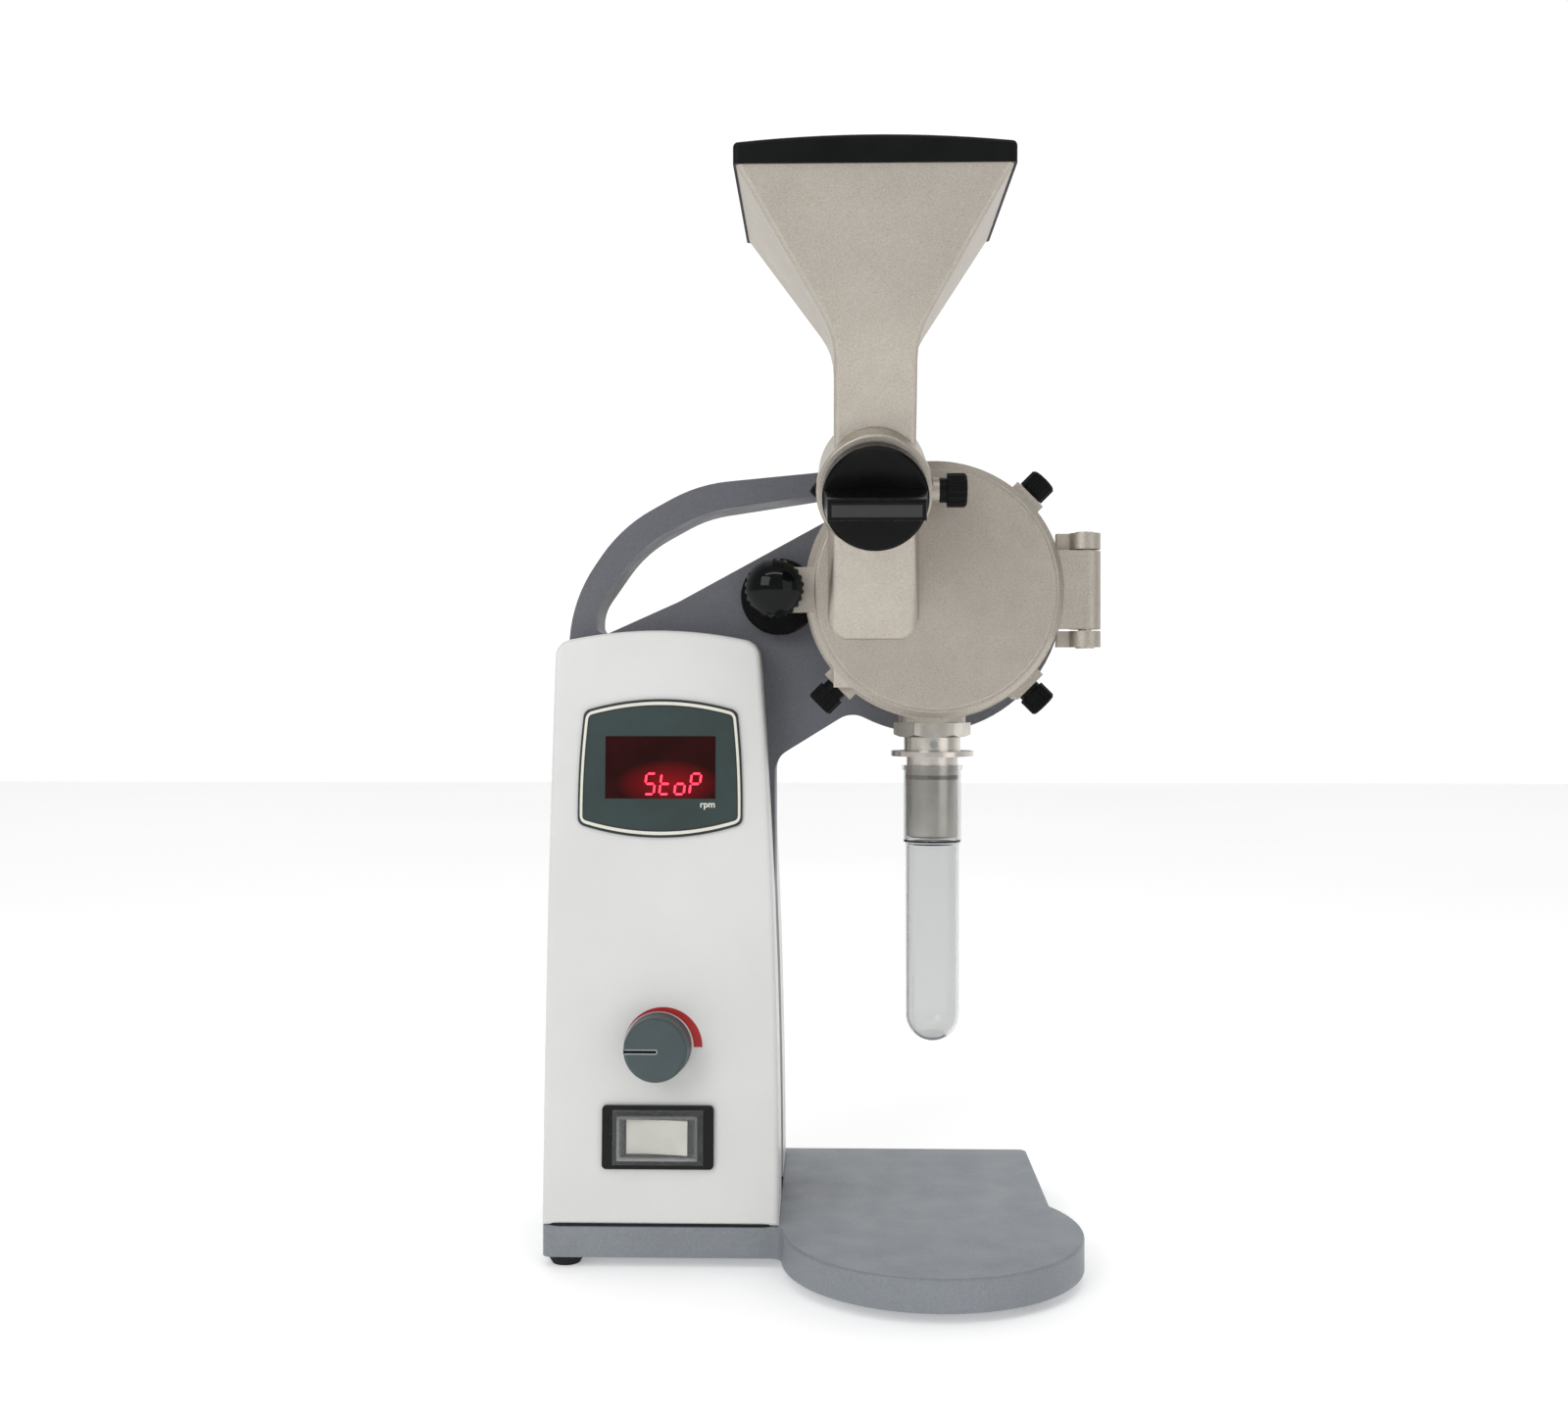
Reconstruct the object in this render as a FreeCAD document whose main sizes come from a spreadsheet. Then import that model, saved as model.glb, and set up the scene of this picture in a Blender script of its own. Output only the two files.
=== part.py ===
import FreeCAD, Part
import math
import operator
import os
import Sketcher

# Analytical lab mill: a beater mill on a powder coated stand, with a hopper over the
# grinding head and a test tube under its outlet. Lengths are in millimetres.
# +Z is up, +X is to the right and +Y is away from the person who stands in front.

doc = FreeCAD.newDocument("LabMill")

sizes = {
    # Bench, feet and base plate
    "footHeight": 5,
    "footTopRadius": 9.5,
    "footTipRadius": 6.5,
    "footInset": 10,
    "baseThickness": 14.5,
    "baseHalfWidth": 127,
    "baseRightReach": 58.4,
    "baseFront": 50,
    "baseDepth": 138.7,
    "baseCornerRadius": 4,
    "baseEdgeRadius": 1.2,
    "discOverhang": 10.6,
    "discBlendRadius": 5.5,
    "discFootReach": 52,
    # Frame upright with handle and arm
    "plateFront": 6,
    "plateThickness": 35,
    "columnInset": 6.2,
    "columnWidth": 100,
    "shoulderHeight": 308.4,
    "handleFirstX": 25.6,
    "handleFirstRise": 37.2,
    "handleSecondX": 37.1,
    "handleSecondRise": 20.4,
    "handleBendRadius": 72,
    "handleBar": 13,
    "headRadius": 65.5,
    "armUnderHeight": 233,
    "armUnderRise": 25.6,
    "armUnderReach": 31.8,
    "armBlendRadius": 12,
    "openingCornerRadius": 4.5,
    "openingShoulderRadius": 20,
    "openingBendRadius": 59,
    "openingLeftHeight": 291,
    "openingMidHeight": 322,
    "openingMidX": 53.3,
    "openingRightReach": 45.5,
    "openingRightHeight": 349.5,
    "frameScrewRadius": 3,
    "frameScrewHeadRadius": 5,
    "frameScrewHeadHeight": 5,
    "frameScrewLength": 30,
    "frameScrewSpacing": 70,
    # Housing shells
    "housingWidth": 109.4,
    "housingShoulder": 288.5,
    "housingLeftInset": 3.3,
    "housingRightInset": 10,
    "housingTopBow": 200,
    "housingCornerRadius": 8,
    "housingWall": 3,
    "housingEdgeRadius": 2.4,
    "housingRearDepth": 55,
    "panelLean": 4,
    # Panel pieces
    "panelInset": 53.5,
    "bezelHeight": 230,
    "bezelTopWidth": 72,
    "bezelBottomWidth": 77,
    "bezelSideHeight": 53,
    "bezelBow": 120,
    "bezelSideBow": 400,
    "bezelCornerRadius": 4,
    "bezelThickness": 1.2,
    "windowWidth": 51.5,
    "windowHeight": 29,
    "windowThickness": 1.6,
    "windowCornerRadius": 1.5,
    "boardThickness": 1.6,
    "boardMargin": 6,
    "displayDepth": 8,
    "knobHeight": 101.5,
    "knobFrontRadius": 14.6,
    "knobBaseRadius": 15.3,
    "knobDepth": 17,
    "knobEdgeRadius": 1.6,
    "knobGap": 0.5,
    "pointerWidth": 1.4,
    "pointerDepth": 0.8,
    "potShaftRadius": 3,
    "potBodyRadius": 8,
    "potBodyDepth": 9,
    "potShaftReach": 14,
    "switchHeight": 60,
    "switchWidth": 51.6,
    "switchTall": 29,
    "switchFlange": 2,
    "switchBodyDepth": 22,
    "switchWall": 3,
    "rockerWidth": 29.3,
    "rockerTall": 15.5,
    "rockerDepth": 9,
    "rockerProud": 2.6,
    "rockerTilt": 6,
    "rockerPinRadius": 1.5,
    "rockerDraft": 0.8,
    "rockerSwing": 1.2,
    "capWidth": 37,
    "capTall": 20,
    "capDepth": 6.4,
    "capWall": 0.8,
    "capFlange": 2.4,
    "controlBoardWidth": 84,
    "controlBoardHeight": 120,
    "controlBoardLevel": 130,
    "inletWidth": 27.5,
    "inletTall": 20,
    "inletDepth": 16,
    "inletLevel": 42,
    "inletFlange": 3,
    # Chamber on the frame
    "axisX": 52.5,
    "axisHeight": 311,
    "flangeRadius": 51,
    "flangeThickness": 30,
    "spigotRadius": 30,
    "spigotDepth": 35,
    "bearingRadius": 13,
    "bearingWidth": 9,
    "shaftRadius": 6,
    "runningGap": 0.05,
    "smallGap": 0.3,
    "bowlRadius": 58,
    "bowlInnerRadius": 50,
    "bowlDepth": 32,
    "bowlFloor": 5,
    "bowlNoseRadius": 20,
    "chamberScrewCircle": 40,
    "chamberScrewRadius": 2.5,
    "chamberScrewHeadRadius": 4.2,
    "chamberScrewHeadHeight": 3,
    "chamberScrewLength": 16,
    "sieveInnerRadius": 44,
    "sieveWall": 1.4,
    "sieveSlotWidth": 2.6,
    "sieveSlotCount": 24,
    "rotorRadius": 34,
    "rotorDiscThickness": 4,
    "beaterReach": 41.5,
    "beaterWidth": 7,
    "beaterDepth": 16,
    "beaterInnerRadius": 25,
    "rotorHubRadius": 11,
    "rotorNutRadius": 8,
    "rotorNutHeight": 7,
    "sealRadius": 10,
    "sealWidth": 4,
    # Radial thumbscrews on their pads
    "padReach": 61.3,
    "padWidth": 16,
    "padSetback": 3,
    "thumbLevel": 22,
    "thumbShankRadius": 2.5,
    "thumbCollarRadius": 5.4,
    "thumbCollarHeight": 3.2,
    "thumbHeadRadius": 6.6,
    "bossScrewHeadRadius": 7.4,
    "thumbHeadHeight": 8.4,
    "thumbRibCount": 16,
    "thumbRibRadius": 0.9,
    "clampPadRadius": 3.6,
    "clampPadHeight": 1.6,
    "thumbTravel": 2,
    # Cover, ear and hinge
    "coverRadius": 57,
    "coverThickness": 8,
    "coverBevel": 2.2,
    "hingeOffset": 67.5,
    "hingeProud": 2,
    "barrelRadius": 7,
    "hingePinRadius": 3,
    "hingePinHeadRadius": 4.2,
    "hingePinHead": 0.6,
    "midKnuckle": 34.9,
    "endKnuckle": 7.2,
    "knuckleGap": 0.8,
    "lugThickness": 6,
    "earHalfHeight": 10,
    "lockOffset": 71,
    "gasketRadius": 55,
    "gasketWidth": 2.4,
    "gasketDepth": 1.6,
    # Lock knob, spindle and interlock socket
    "spindleRadius": 4,
    "spindleNose": 7,
    "spindleTipRadius": 0.8,
    "washerRadius": 7,
    "washerThickness": 1.6,
    "clipRadius": 6.2,
    "clipThickness": 1.2,
    "lockTravel": 8,
    "lockKnobRadius": 13,
    "lockNeckRadius": 8,
    "lockNeckHeight": 5,
    "lockRimHeight": 6,
    "lockDomeHeight": 8,
    "scallopCount": 24,
    "scallopRadius": 1.1,
    "socketRadius": 18.3,
    "socketDepth": 10,
    "socketMouthRadius": 8.2,
    # Hinged chute and feed valve
    "chuteX": 25.1,
    "chuteWidth": 35.3,
    "chuteDepth": 44,
    "chuteFootHeight": 290.5,
    "chuteLean": 19.2,
    "chuteWall": 3.7,
    "chuteEdgeRadius": 2.4,
    "passageWidth": 24,
    "bossRadius": 24.4,
    "bossFaceY": 103.7,
    "bossFaceHeight": 350.5,
    "plugRadius": 17.8,
    "plugDepth": 27,
    "plugBackWall": 2,
    "feedDiscRadius": 22.7,
    "feedDiscHeight": 11.5,
    "feedDishDepth": 1.2,
    "gripThickness": 9,
    "gripProud": 20,
    "gripLength": 44,
    "gripTaper": 1.6,
    "bossScrewInset": 6,
    "bossStubReach": 3.2,
    # Hopper and lid
    "saddleRise": 12.2,
    "neckRise": 65,
    "funnelRise": 67.2,
    "creaseBlend": 9,
    "mouthShift": 0.9,
    "mouthWidth": 114.4,
    "mouthDepth": 127.6,
    "mouthFront": 134.8,
    "hopperWall": 3,
    "lidOverhang": 1.2,
    "lidRimHeight": 9,
    "lidCrown": 3,
    "lidSkirtDepth": 5,
    "lidSkirtGap": 0.8,
    "lidSkirtWall": 2.4,
    "lidEdgeRadius": 2.2,
    # Outlet and test tube
    "outletLevel": 251.5,
    "outletSetback": 16,
    "outletBoreRadius": 9,
    "nutAcrossFlats": 30.5,
    "nutHeight": 6.5,
    "nutBevel": 2.3,
    "outletNeckRadius": 12.95,
    "outletNeckHeight": 6.4,
    "outletFlangeRadius": 18.9,
    "outletFlangeHeight": 2.3,
    "tubeSpigotRadius": 11.75,
    "tubeSpigotLength": 37,
    "outletThreadRadius": 12,
    "setScrewRadius": 1.7,
    "ringRadius": 11.98,
    "ringWidth": 2,
    "tubeGap": 4.1,
    "tubeRimRadius": 13.85,
    "tubeRimHeight": 2.2,
    "tubeSocketRadius": 13.1,
    "tubeSocketLength": 35,
    "tubeRadius": 12.15,
    "tubeLength": 126,
    "tubeWall": 1.05,
    # Motor behind the head
    "motorRadius": 50,
    "motorLength": 89,
    "motorWall": 4,
    "motorFrontWall": 6,
    "capLength": 18,
    "statorRadius": 44,
    "statorBore": 27,
    "statorLength": 48,
    "armatureRadius": 26,
    "armatureLength": 50,
    "fanRadius": 38,
    "fanHubRadius": 12,
    "fanHeight": 9,
    "fanBladeWidth": 2,
    "fanBladeCount": 8,
    "ventCount": 12,
    "ventWidth": 5,
    "ventInnerRadius": 18,
    "ventOuterRadius": 40,
    "overrun": 10,
}

sheet = doc.addObject("Spreadsheet::Sheet", "Sizes")
for row, (alias, value) in enumerate(sizes.items(), 1):
    sheet.set(f"A{row}", alias)
    sheet.set(f"B{row}", str(value))
    sheet.setAlias(f"B{row}", alias)
doc.recompute()


# A size carries its spreadsheet expression and its value, so that sums of sizes
# can be bound to the features and can also place the first sketch geometry.
class Size:
    def __init__(self, text, value):
        self.text = text
        self.value = value

    def __add__(self, other):
        return combined(self, "+", other)

    def __radd__(self, other):
        return combined(other, "+", self)

    def __sub__(self, other):
        return combined(self, "-", other)

    def __rsub__(self, other):
        return combined(other, "-", self)

    def __mul__(self, other):
        return combined(self, "*", other)

    def __rmul__(self, other):
        return combined(other, "*", self)

    def __truediv__(self, other):
        return combined(self, "/", other)

    def __neg__(self):
        return combined(0, "-", self)


class SizeBook:
    def __getattr__(self, name):
        return Size(f"Sizes.{name}", float(sheet.get(name)))


operations = {"+": operator.add, "-": operator.sub, "*": operator.mul, "/": operator.truediv}
d = SizeBook()


def asSize(item):
    return item if isinstance(item, Size) else Size(repr(item), item)


def combined(left, sign, right):
    left = asSize(left)
    right = asSize(right)
    return Size(f"({left.text} {sign} {right.text})", operations[sign](left.value, right.value))


def sine(angle):
    return Size(f"sin({angle.text} * 1deg)", math.sin(math.radians(angle.value)))


def cosine(angle):
    return Size(f"cos({angle.text} * 1deg)", math.cos(math.radians(angle.value)))


def tangent(angle):
    return Size(f"tan({angle.text} * 1deg)", math.tan(math.radians(angle.value)))


def root(size):
    return Size(f"sqrt({size.text})", math.sqrt(size.value))


def bind(item, name, size):
    item.setExpression(name, asSize(size).text)


# Turns from a piece's own +Z to the way its axis points on the mill.
turns = {
    "up": ("X", 0),
    "down": ("X", 180),
    "front": ("X", 90),
    "back": ("X", -90),
    "right": ("Y", 90),
}
axes = {"X": (1, 0, 0), "Y": (0, 1, 0)}


def newBody(label, place=(0, 0, 0), way="up", tilt=0):
    body = doc.addObject("PartDesign::Body", label)
    body.Label = label
    axis, angle = turns[way]
    turn = asSize(angle) + tilt
    corner = [asSize(size).value for size in place]
    rotation = FreeCAD.Rotation(FreeCAD.Vector(*axes[axis]), turn.value)
    body.Placement = FreeCAD.Placement(FreeCAD.Vector(*corner), rotation)
    for name, size in zip("xyz", place):
        bind(body, f"Placement.Base.{name}", size)
    if turn.value and isinstance(tilt, Size):
        bind(body, "Placement.Rotation.Angle", turn * Size("1deg", 1))
    return body


def newSketch(body, plane, offset=0, lean=0):
    sketch = body.newObject("Sketcher::SketchObject", f"{body.Label}_sketch")
    face = [item for item in body.Origin.OriginFeatures if item.Role == plane][0]
    sketch.AttachmentSupport = [(face, "")]
    sketch.MapMode = "FlatFace"
    rotation = FreeCAD.Rotation(FreeCAD.Vector(1, 0, 0), asSize(lean).value)
    sketch.AttachmentOffset = FreeCAD.Placement(FreeCAD.Vector(0, 0, asSize(offset).value), rotation)
    bind(sketch, "AttachmentOffset.Base.z", offset)
    return sketch


def addFixed(sketch, geometry, end, point):
    # Holds one end of an edge, or a circle's centre, at a point worked out from the sizes.
    for name, axis, size in (("DistanceX", -2, point[0]), ("DistanceY", -1, point[1])):
        size = asSize(size)
        if size.text == "0":
            sketch.addConstraint(Sketcher.Constraint("PointOnObject", geometry, end, axis))
            continue
        index = sketch.addConstraint(Sketcher.Constraint(name, geometry, end, size.value))
        sketch.setExpression(f"Constraints[{index}]", size.text)


def arcBetween(start, end, bow):
    # The arc from start to end with the radius of the bow, outwards if the bow is positive.
    middle = (start + end) / 2
    along = end - start
    half = along.Length / 2
    left = FreeCAD.Vector(-along.y, along.x, 0).normalize()
    rise = math.sqrt(bow * bow - half * half)
    centre = middle + left * (rise if bow > 0 else -rise)
    circle = Part.Circle(centre, FreeCAD.Vector(0, 0, 1), abs(bow))
    first, last = (start, end) if bow > 0 else (end, start)
    return Part.ArcOfCircle(circle, circle.parameter(first), circle.parameter(last))


def outline(sketch, points):
    # Closed outline, anticlockwise. A third number on a point bends the edge that leaves it.
    places = [FreeCAD.Vector(asSize(p[0]).value, asSize(p[1]).value, 0) for p in points]
    ends = []
    for number, point in enumerate(points):
        start = places[number]
        end = places[(number + 1) % len(points)]
        if len(point) == 3:
            bow = asSize(point[2])
            edge = sketch.addGeometry(arcBetween(start, end, bow.value), False)
            size = bow if bow.value > 0 else -bow
            index = sketch.addConstraint(Sketcher.Constraint("Radius", edge, size.value))
            sketch.setExpression(f"Constraints[{index}]", size.text)
            ends.append((edge, 1, 2) if bow.value > 0 else (edge, 2, 1))
        else:
            edge = sketch.addGeometry(Part.LineSegment(start, end), False)
            ends.append((edge, 1, 2))
    for number, (edge, first, last) in enumerate(ends):
        after = ends[(number + 1) % len(ends)]
        sketch.addConstraint(Sketcher.Constraint("Coincident", edge, last, after[0], after[1]))
        addFixed(sketch, edge, first, points[number])


def ring(sketch, x, y, radius):
    centre = FreeCAD.Vector(asSize(x).value, asSize(y).value, 0)
    radius = asSize(radius)
    circle = Part.Circle(centre, FreeCAD.Vector(0, 0, 1), radius.value)
    edge = sketch.addGeometry(circle, False)
    addFixed(sketch, edge, 3, (x, y))
    index = sketch.addConstraint(Sketcher.Constraint("Radius", edge, radius.value))
    sketch.setExpression(f"Constraints[{index}]", radius.text)


def rectangle(sketch, left, bottom, right, top):
    outline(sketch, [(left, bottom), (right, bottom), (right, top), (left, top)])


def feature(body, kind, sketch):
    item = body.newObject(f"PartDesign::{kind}", f"{body.Label}_{kind}")
    item.Profile = sketch
    sketch.Visibility = False
    return item


def extrude(body, kind, sketch, length, middle=False, reverse=False):
    item = feature(body, kind, sketch)
    item.Midplane = middle
    item.Reversed = reverse
    bind(item, "Length", length)
    doc.recompute()
    return item


def pad(body, sketch, length, middle=False, reverse=False):
    return extrude(body, "Pad", sketch, length, middle, reverse)


def pocket(body, sketch, length, middle=False, reverse=False):
    return extrude(body, "Pocket", sketch, length, middle, reverse)


def spin(body, kind, sketch, axis="V_Axis"):
    item = feature(body, kind, sketch)
    item.ReferenceAxis = (sketch, [axis])
    item.Angle = 360
    doc.recompute()
    return item


def turned(label, profile, place=(0, 0, 0), way="up", tilt=0):
    # A turned piece: radius and height points spun about the piece's own +Z.
    body = newBody(label, place, way, tilt)
    sketch = newSketch(body, "XZ_Plane")
    outline(sketch, profile)
    spin(body, "Revolution", sketch)
    return body


def tube(label, inner, outer, low, high, place=(0, 0, 0), way="up", tilt=0):
    profile = [(inner, low), (outer, low), (outer, high), (inner, high)]
    return turned(label, profile, place, way, tilt)


def repeat(body, item, count):
    pattern = body.newObject("PartDesign::PolarPattern", f"{body.Label}_pattern")
    axis = [part for part in body.Origin.OriginFeatures if part.Role == "Z_Axis"][0]
    pattern.Originals = [item]
    pattern.Axis = (axis, [""])
    pattern.Angle = 360
    pattern.Occurrences = int(asSize(count).value)
    bind(pattern, "Occurrences", count)
    item.Visibility = False
    body.Tip = pattern
    doc.recompute()
    return pattern


def middleOf(edge):
    first, last = edge.ParameterRange
    return edge.valueAt((first + last) / 2)


def edgesWhere(body, test):
    names = []
    for number, edge in enumerate(body.Tip.Shape.Edges, 1):
        if test(edge):
            names.append(f"Edge{number}")
    return names


def nearest(body, places):
    # The names of the edges whose middles lie nearest to the given places.
    names = set()
    middles = [middleOf(edge) for edge in body.Tip.Shape.Edges]
    for place in places:
        spot = FreeCAD.Vector(*[asSize(size).value for size in place])
        gaps = [(spot - middle).Length for middle in middles]
        names.add(f"Edge{gaps.index(min(gaps)) + 1}")
    return sorted(names)


def dress(body, kind, names, size):
    item = body.newObject(f"PartDesign::{kind}", f"{body.Label}_{kind}")
    item.Base = (body.Tip if body.Tip != item else item.BaseFeature, names)
    bind(item, "Radius" if kind == "Fillet" else "Size", size)
    doc.recompute()
    return item


def fillet(body, names, radius):
    return dress(body, "Fillet", names, radius)


def chamfer(body, names, size):
    return dress(body, "Chamfer", names, size)


# Levels and places that several pieces share.
baseTop = d.footHeight + d.baseThickness
plateBack = d.plateThickness - d.plateFront
bowlBack = d.plateFront + d.flangeThickness
bowlFront = bowlBack + d.bowlDepth
coverFront = bowlFront + d.coverThickness
hingeX = d.axisX + d.hingeOffset
hingeY = d.hingeProud - bowlFront
lockX = d.axisX - d.lockOffset
outletY = d.outletSetback - bowlFront
thumbY = d.thumbLevel - bowlFront
panelSlope = tangent(d.panelLean)
chuteSlope = tangent(d.chuteLean)
baseRight = d.axisX + d.baseRightReach
discRadius = d.baseRightReach + d.discOverhang
panelX = d.panelInset - d.baseHalfWidth
openingRightX = d.axisX - d.openingRightReach
creaseHeight = d.bossFaceHeight + d.neckRise
mouthHeight = creaseHeight + d.funnelRise
mouthX = d.chuteX - d.mouthShift
quarter = Size("45", 45)


def basePlate():
    body = newBody("base_plate")
    sketch = newSketch(body, "XY_Plane", d.footHeight)
    left = -d.baseHalfWidth
    rectangle(sketch, left, -d.baseFront, baseRight, d.baseDepth - d.baseFront)
    pad(body, sketch, d.baseThickness)
    corner = newSketch(body, "XY_Plane", d.footHeight)
    ring(corner, d.axisX, -d.baseFront, discRadius)
    pad(body, corner, d.baseThickness)
    middle = d.footHeight + d.baseThickness / 2
    back = d.baseDepth - d.baseFront
    meet = root(discRadius * discRadius - d.baseRightReach * d.baseRightReach)
    fillet(body, nearest(body, [(d.axisX - discRadius, -d.baseFront, middle)]), d.discBlendRadius)
    fillet(body, nearest(body, [(baseRight, meet - d.baseFront, middle)]), d.baseCornerRadius)
    corners = [(left, -d.baseFront, middle), (left, back, middle), (baseRight, back, middle)]
    fillet(body, nearest(body, corners), d.baseCornerRadius)
    holes = newSketch(body, "XY_Plane", d.footHeight)
    heads = newSketch(body, "XY_Plane", d.footHeight)
    for x in frameScrewPlaces():
        ring(holes, x, frameScrewY(), d.frameScrewRadius + d.smallGap)
        ring(heads, x, frameScrewY(), d.frameScrewHeadRadius + d.smallGap)
    pocket(body, holes, d.baseThickness, reverse=True)
    pocket(body, heads, d.frameScrewHeadHeight + d.smallGap, reverse=True)
    top = baseTop.value
    rim = edgesWhere(body, lambda e: e.BoundBox.ZMin > top - 1e-6 and e.Length > d.discBlendRadius.value)
    fillet(body, rim, d.baseEdgeRadius)
    return body


def frameScrewPlaces():
    middle = d.columnInset + d.columnWidth / 2 - d.baseHalfWidth
    return [middle - d.frameScrewSpacing / 2, middle, middle + d.frameScrewSpacing / 2]


def frameScrewY():
    return (plateBack - d.plateFront) / 2


def frameScrews():
    # Socket head screws that hold the upright on the base from below.
    body = newBody("frame_screws")
    level = d.footHeight
    heads = newSketch(body, "XY_Plane", level)
    shanks = newSketch(body, "XY_Plane", level)
    for x in frameScrewPlaces():
        ring(heads, x, frameScrewY(), d.frameScrewHeadRadius)
        ring(shanks, x, frameScrewY(), d.frameScrewRadius)
    pad(body, heads, d.frameScrewHeadHeight)
    pad(body, shanks, d.frameScrewLength)
    return body


def foot(number, x, y):
    return turned(f"foot_{number}", [
        (0, 0), (d.footTipRadius, 0), (d.footTopRadius, d.footHeight), (0, d.footHeight),
    ], (x, y, 0))


def frameUpright():
    body = newBody("frame_upright")
    left = d.columnInset - d.baseHalfWidth
    right = left + d.columnWidth
    firstX = left + d.handleFirstX
    firstHeight = d.shoulderHeight + d.handleFirstRise
    secondX = firstX + d.handleSecondX
    secondHeight = firstHeight + d.handleSecondRise
    headTop = d.axisHeight + d.headRadius
    plate = newSketch(body, "XZ_Plane", -plateBack)
    outline(plate, [
        (left, baseTop),
        (right, baseTop),
        (right, d.armUnderHeight),
        (d.axisX - d.armUnderReach, d.armUnderHeight + d.armUnderRise),
        (d.axisX, d.axisHeight),
        (d.axisX, headTop),
        (secondX, secondHeight),
        (firstX, firstHeight),
        (left, d.shoulderHeight),
    ])
    pad(body, plate, d.plateThickness)
    head = newSketch(body, "XZ_Plane", -plateBack)
    ring(head, d.axisX, d.axisHeight, d.headRadius)
    pad(body, head, d.plateThickness)
    middle = (plateBack - d.plateFront) / 2
    bends = [(left, middle, d.shoulderHeight), (firstX, middle, firstHeight), (secondX, middle, secondHeight)]
    for bend in bends:
        fillet(body, nearest(body, [bend]), d.handleBendRadius)
    fillet(body, nearest(body, [(right, middle, d.armUnderHeight)]), d.armBlendRadius)
    root = (d.axisX - d.armUnderReach - d.armUnderRise, middle, d.armUnderHeight + d.armUnderRise)
    fillet(body, nearest(body, [root]), d.armBlendRadius)
    hole = newSketch(body, "XZ_Plane", d.plateFront)
    sharp, slight, bends = openingCorners(left, firstX, firstHeight, secondX, secondHeight, headTop)
    middleCorner = (left + d.openingMidX, d.openingMidHeight - d.handleBar)
    outline(hole, [sharp[1][0], middleCorner, sharp[1][1], sharp[1][2], bends[1][1], bends[1][0], slight[1][0]])
    pocket(body, hole, d.plateThickness)
    for radius, corners in openingCorners(left, firstX, firstHeight, secondX, secondHeight, headTop):
        for x, height in corners:
            fillet(body, nearest(body, [(x, middle, height)]), radius)
    bore = newSketch(body, "XZ_Plane", d.plateFront)
    ring(bore, d.axisX, d.axisHeight, d.spigotRadius + d.runningGap)
    pocket(body, bore, d.plateThickness)
    screws = newSketch(body, "XY_Plane", baseTop)
    for x in frameScrewPlaces():
        ring(screws, x, frameScrewY(), d.frameScrewRadius + d.runningGap)
    pocket(body, screws, d.frameScrewLength - d.baseThickness + d.smallGap, reverse=True)
    return body


def openingCorners(left, firstX, firstHeight, secondX, secondHeight, headTop):
    # Corners of the handle opening, in groups that share a radius.
    bar = d.handleBar
    corner = d.openingCornerRadius
    sharp = [
        (left + bar, d.openingLeftHeight),
        (openingRightX, d.openingRightHeight),
        (openingRightX - corner, headTop - bar - corner / 2),
    ]
    slight = [(left + bar, d.shoulderHeight - bar / 4)]
    bends = [
        (firstX + bar * 0.65, firstHeight - bar * 0.8),
        (secondX + bar / 5, secondHeight - bar * 1.05),
    ]
    return [(corner, sharp), (d.openingShoulderRadius, slight), (d.openingBendRadius, bends)]


def housingOutline(sketch, inset):
    # Front view of a shell, drawn in by the inset: bowed sides and an arched top.
    left = inset - d.baseHalfWidth
    right = d.housingWidth - d.baseHalfWidth - inset
    shoulder = d.housingShoulder - inset
    outline(sketch, [
        (left, baseTop),
        (right, baseTop, sideBow(shoulder - baseTop, d.housingRightInset)),
        (right - d.housingRightInset, shoulder, d.housingTopBow),
        (left + d.housingLeftInset, shoulder, sideBow(shoulder - baseTop, d.housingLeftInset)),
    ])


def sideBow(height, inset):
    # Radius of a side that stands upright at its foot and draws in by the inset at the top.
    return (height * height + inset * inset) / (inset * 2)


def leanCut(body, front, away):
    # Takes off everything in front of the leaning panel, or behind it when away is -1.
    top = d.housingShoulder + d.overrun * 2
    reach = (top - baseTop) * panelSlope
    cut = newSketch(body, "YZ_Plane", panelX)
    if away == 1:
        outline(cut, [
            (front - d.overrun * 2, baseTop - d.overrun), (front - d.overrun * panelSlope, baseTop - d.overrun),
            (front + reach, top), (front - d.overrun * 2, top),
        ])
    else:
        outline(cut, [
            (front + d.overrun * panelSlope, baseTop - d.overrun), (front + d.overrun * 2, baseTop - d.overrun),
            (front + d.overrun * 2, top), (front - reach, top),
        ])
    pocket(body, cut, d.housingWidth * 2, middle=True)


def frontHousing():
    body = newBody("front_housing")
    depth = d.baseFront - d.plateFront
    shape = newSketch(body, "XZ_Plane", d.plateFront)
    housingOutline(shape, Size("0", 0))
    pad(body, shape, depth)
    leanCut(body, -d.baseFront, 1)
    shellOut(body, -d.plateFront, -d.baseFront)
    panelHole(body, d.bezelHeight, d.windowWidth - d.boardMargin / 2, d.windowHeight - d.boardMargin / 2)
    panelHole(body, d.switchHeight, d.switchWidth - d.switchWall * 2, d.switchTall - d.switchWall * 2)
    face = newSketch(body, "XZ_Plane", d.baseFront, -d.panelLean)
    ring(face, panelX, (d.knobHeight - baseTop) / cosine(d.panelLean), d.potShaftRadius + d.smallGap)
    bindPanel(face)
    pocket(body, face, d.housingWall + d.overrun, middle=True)
    return body


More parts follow.
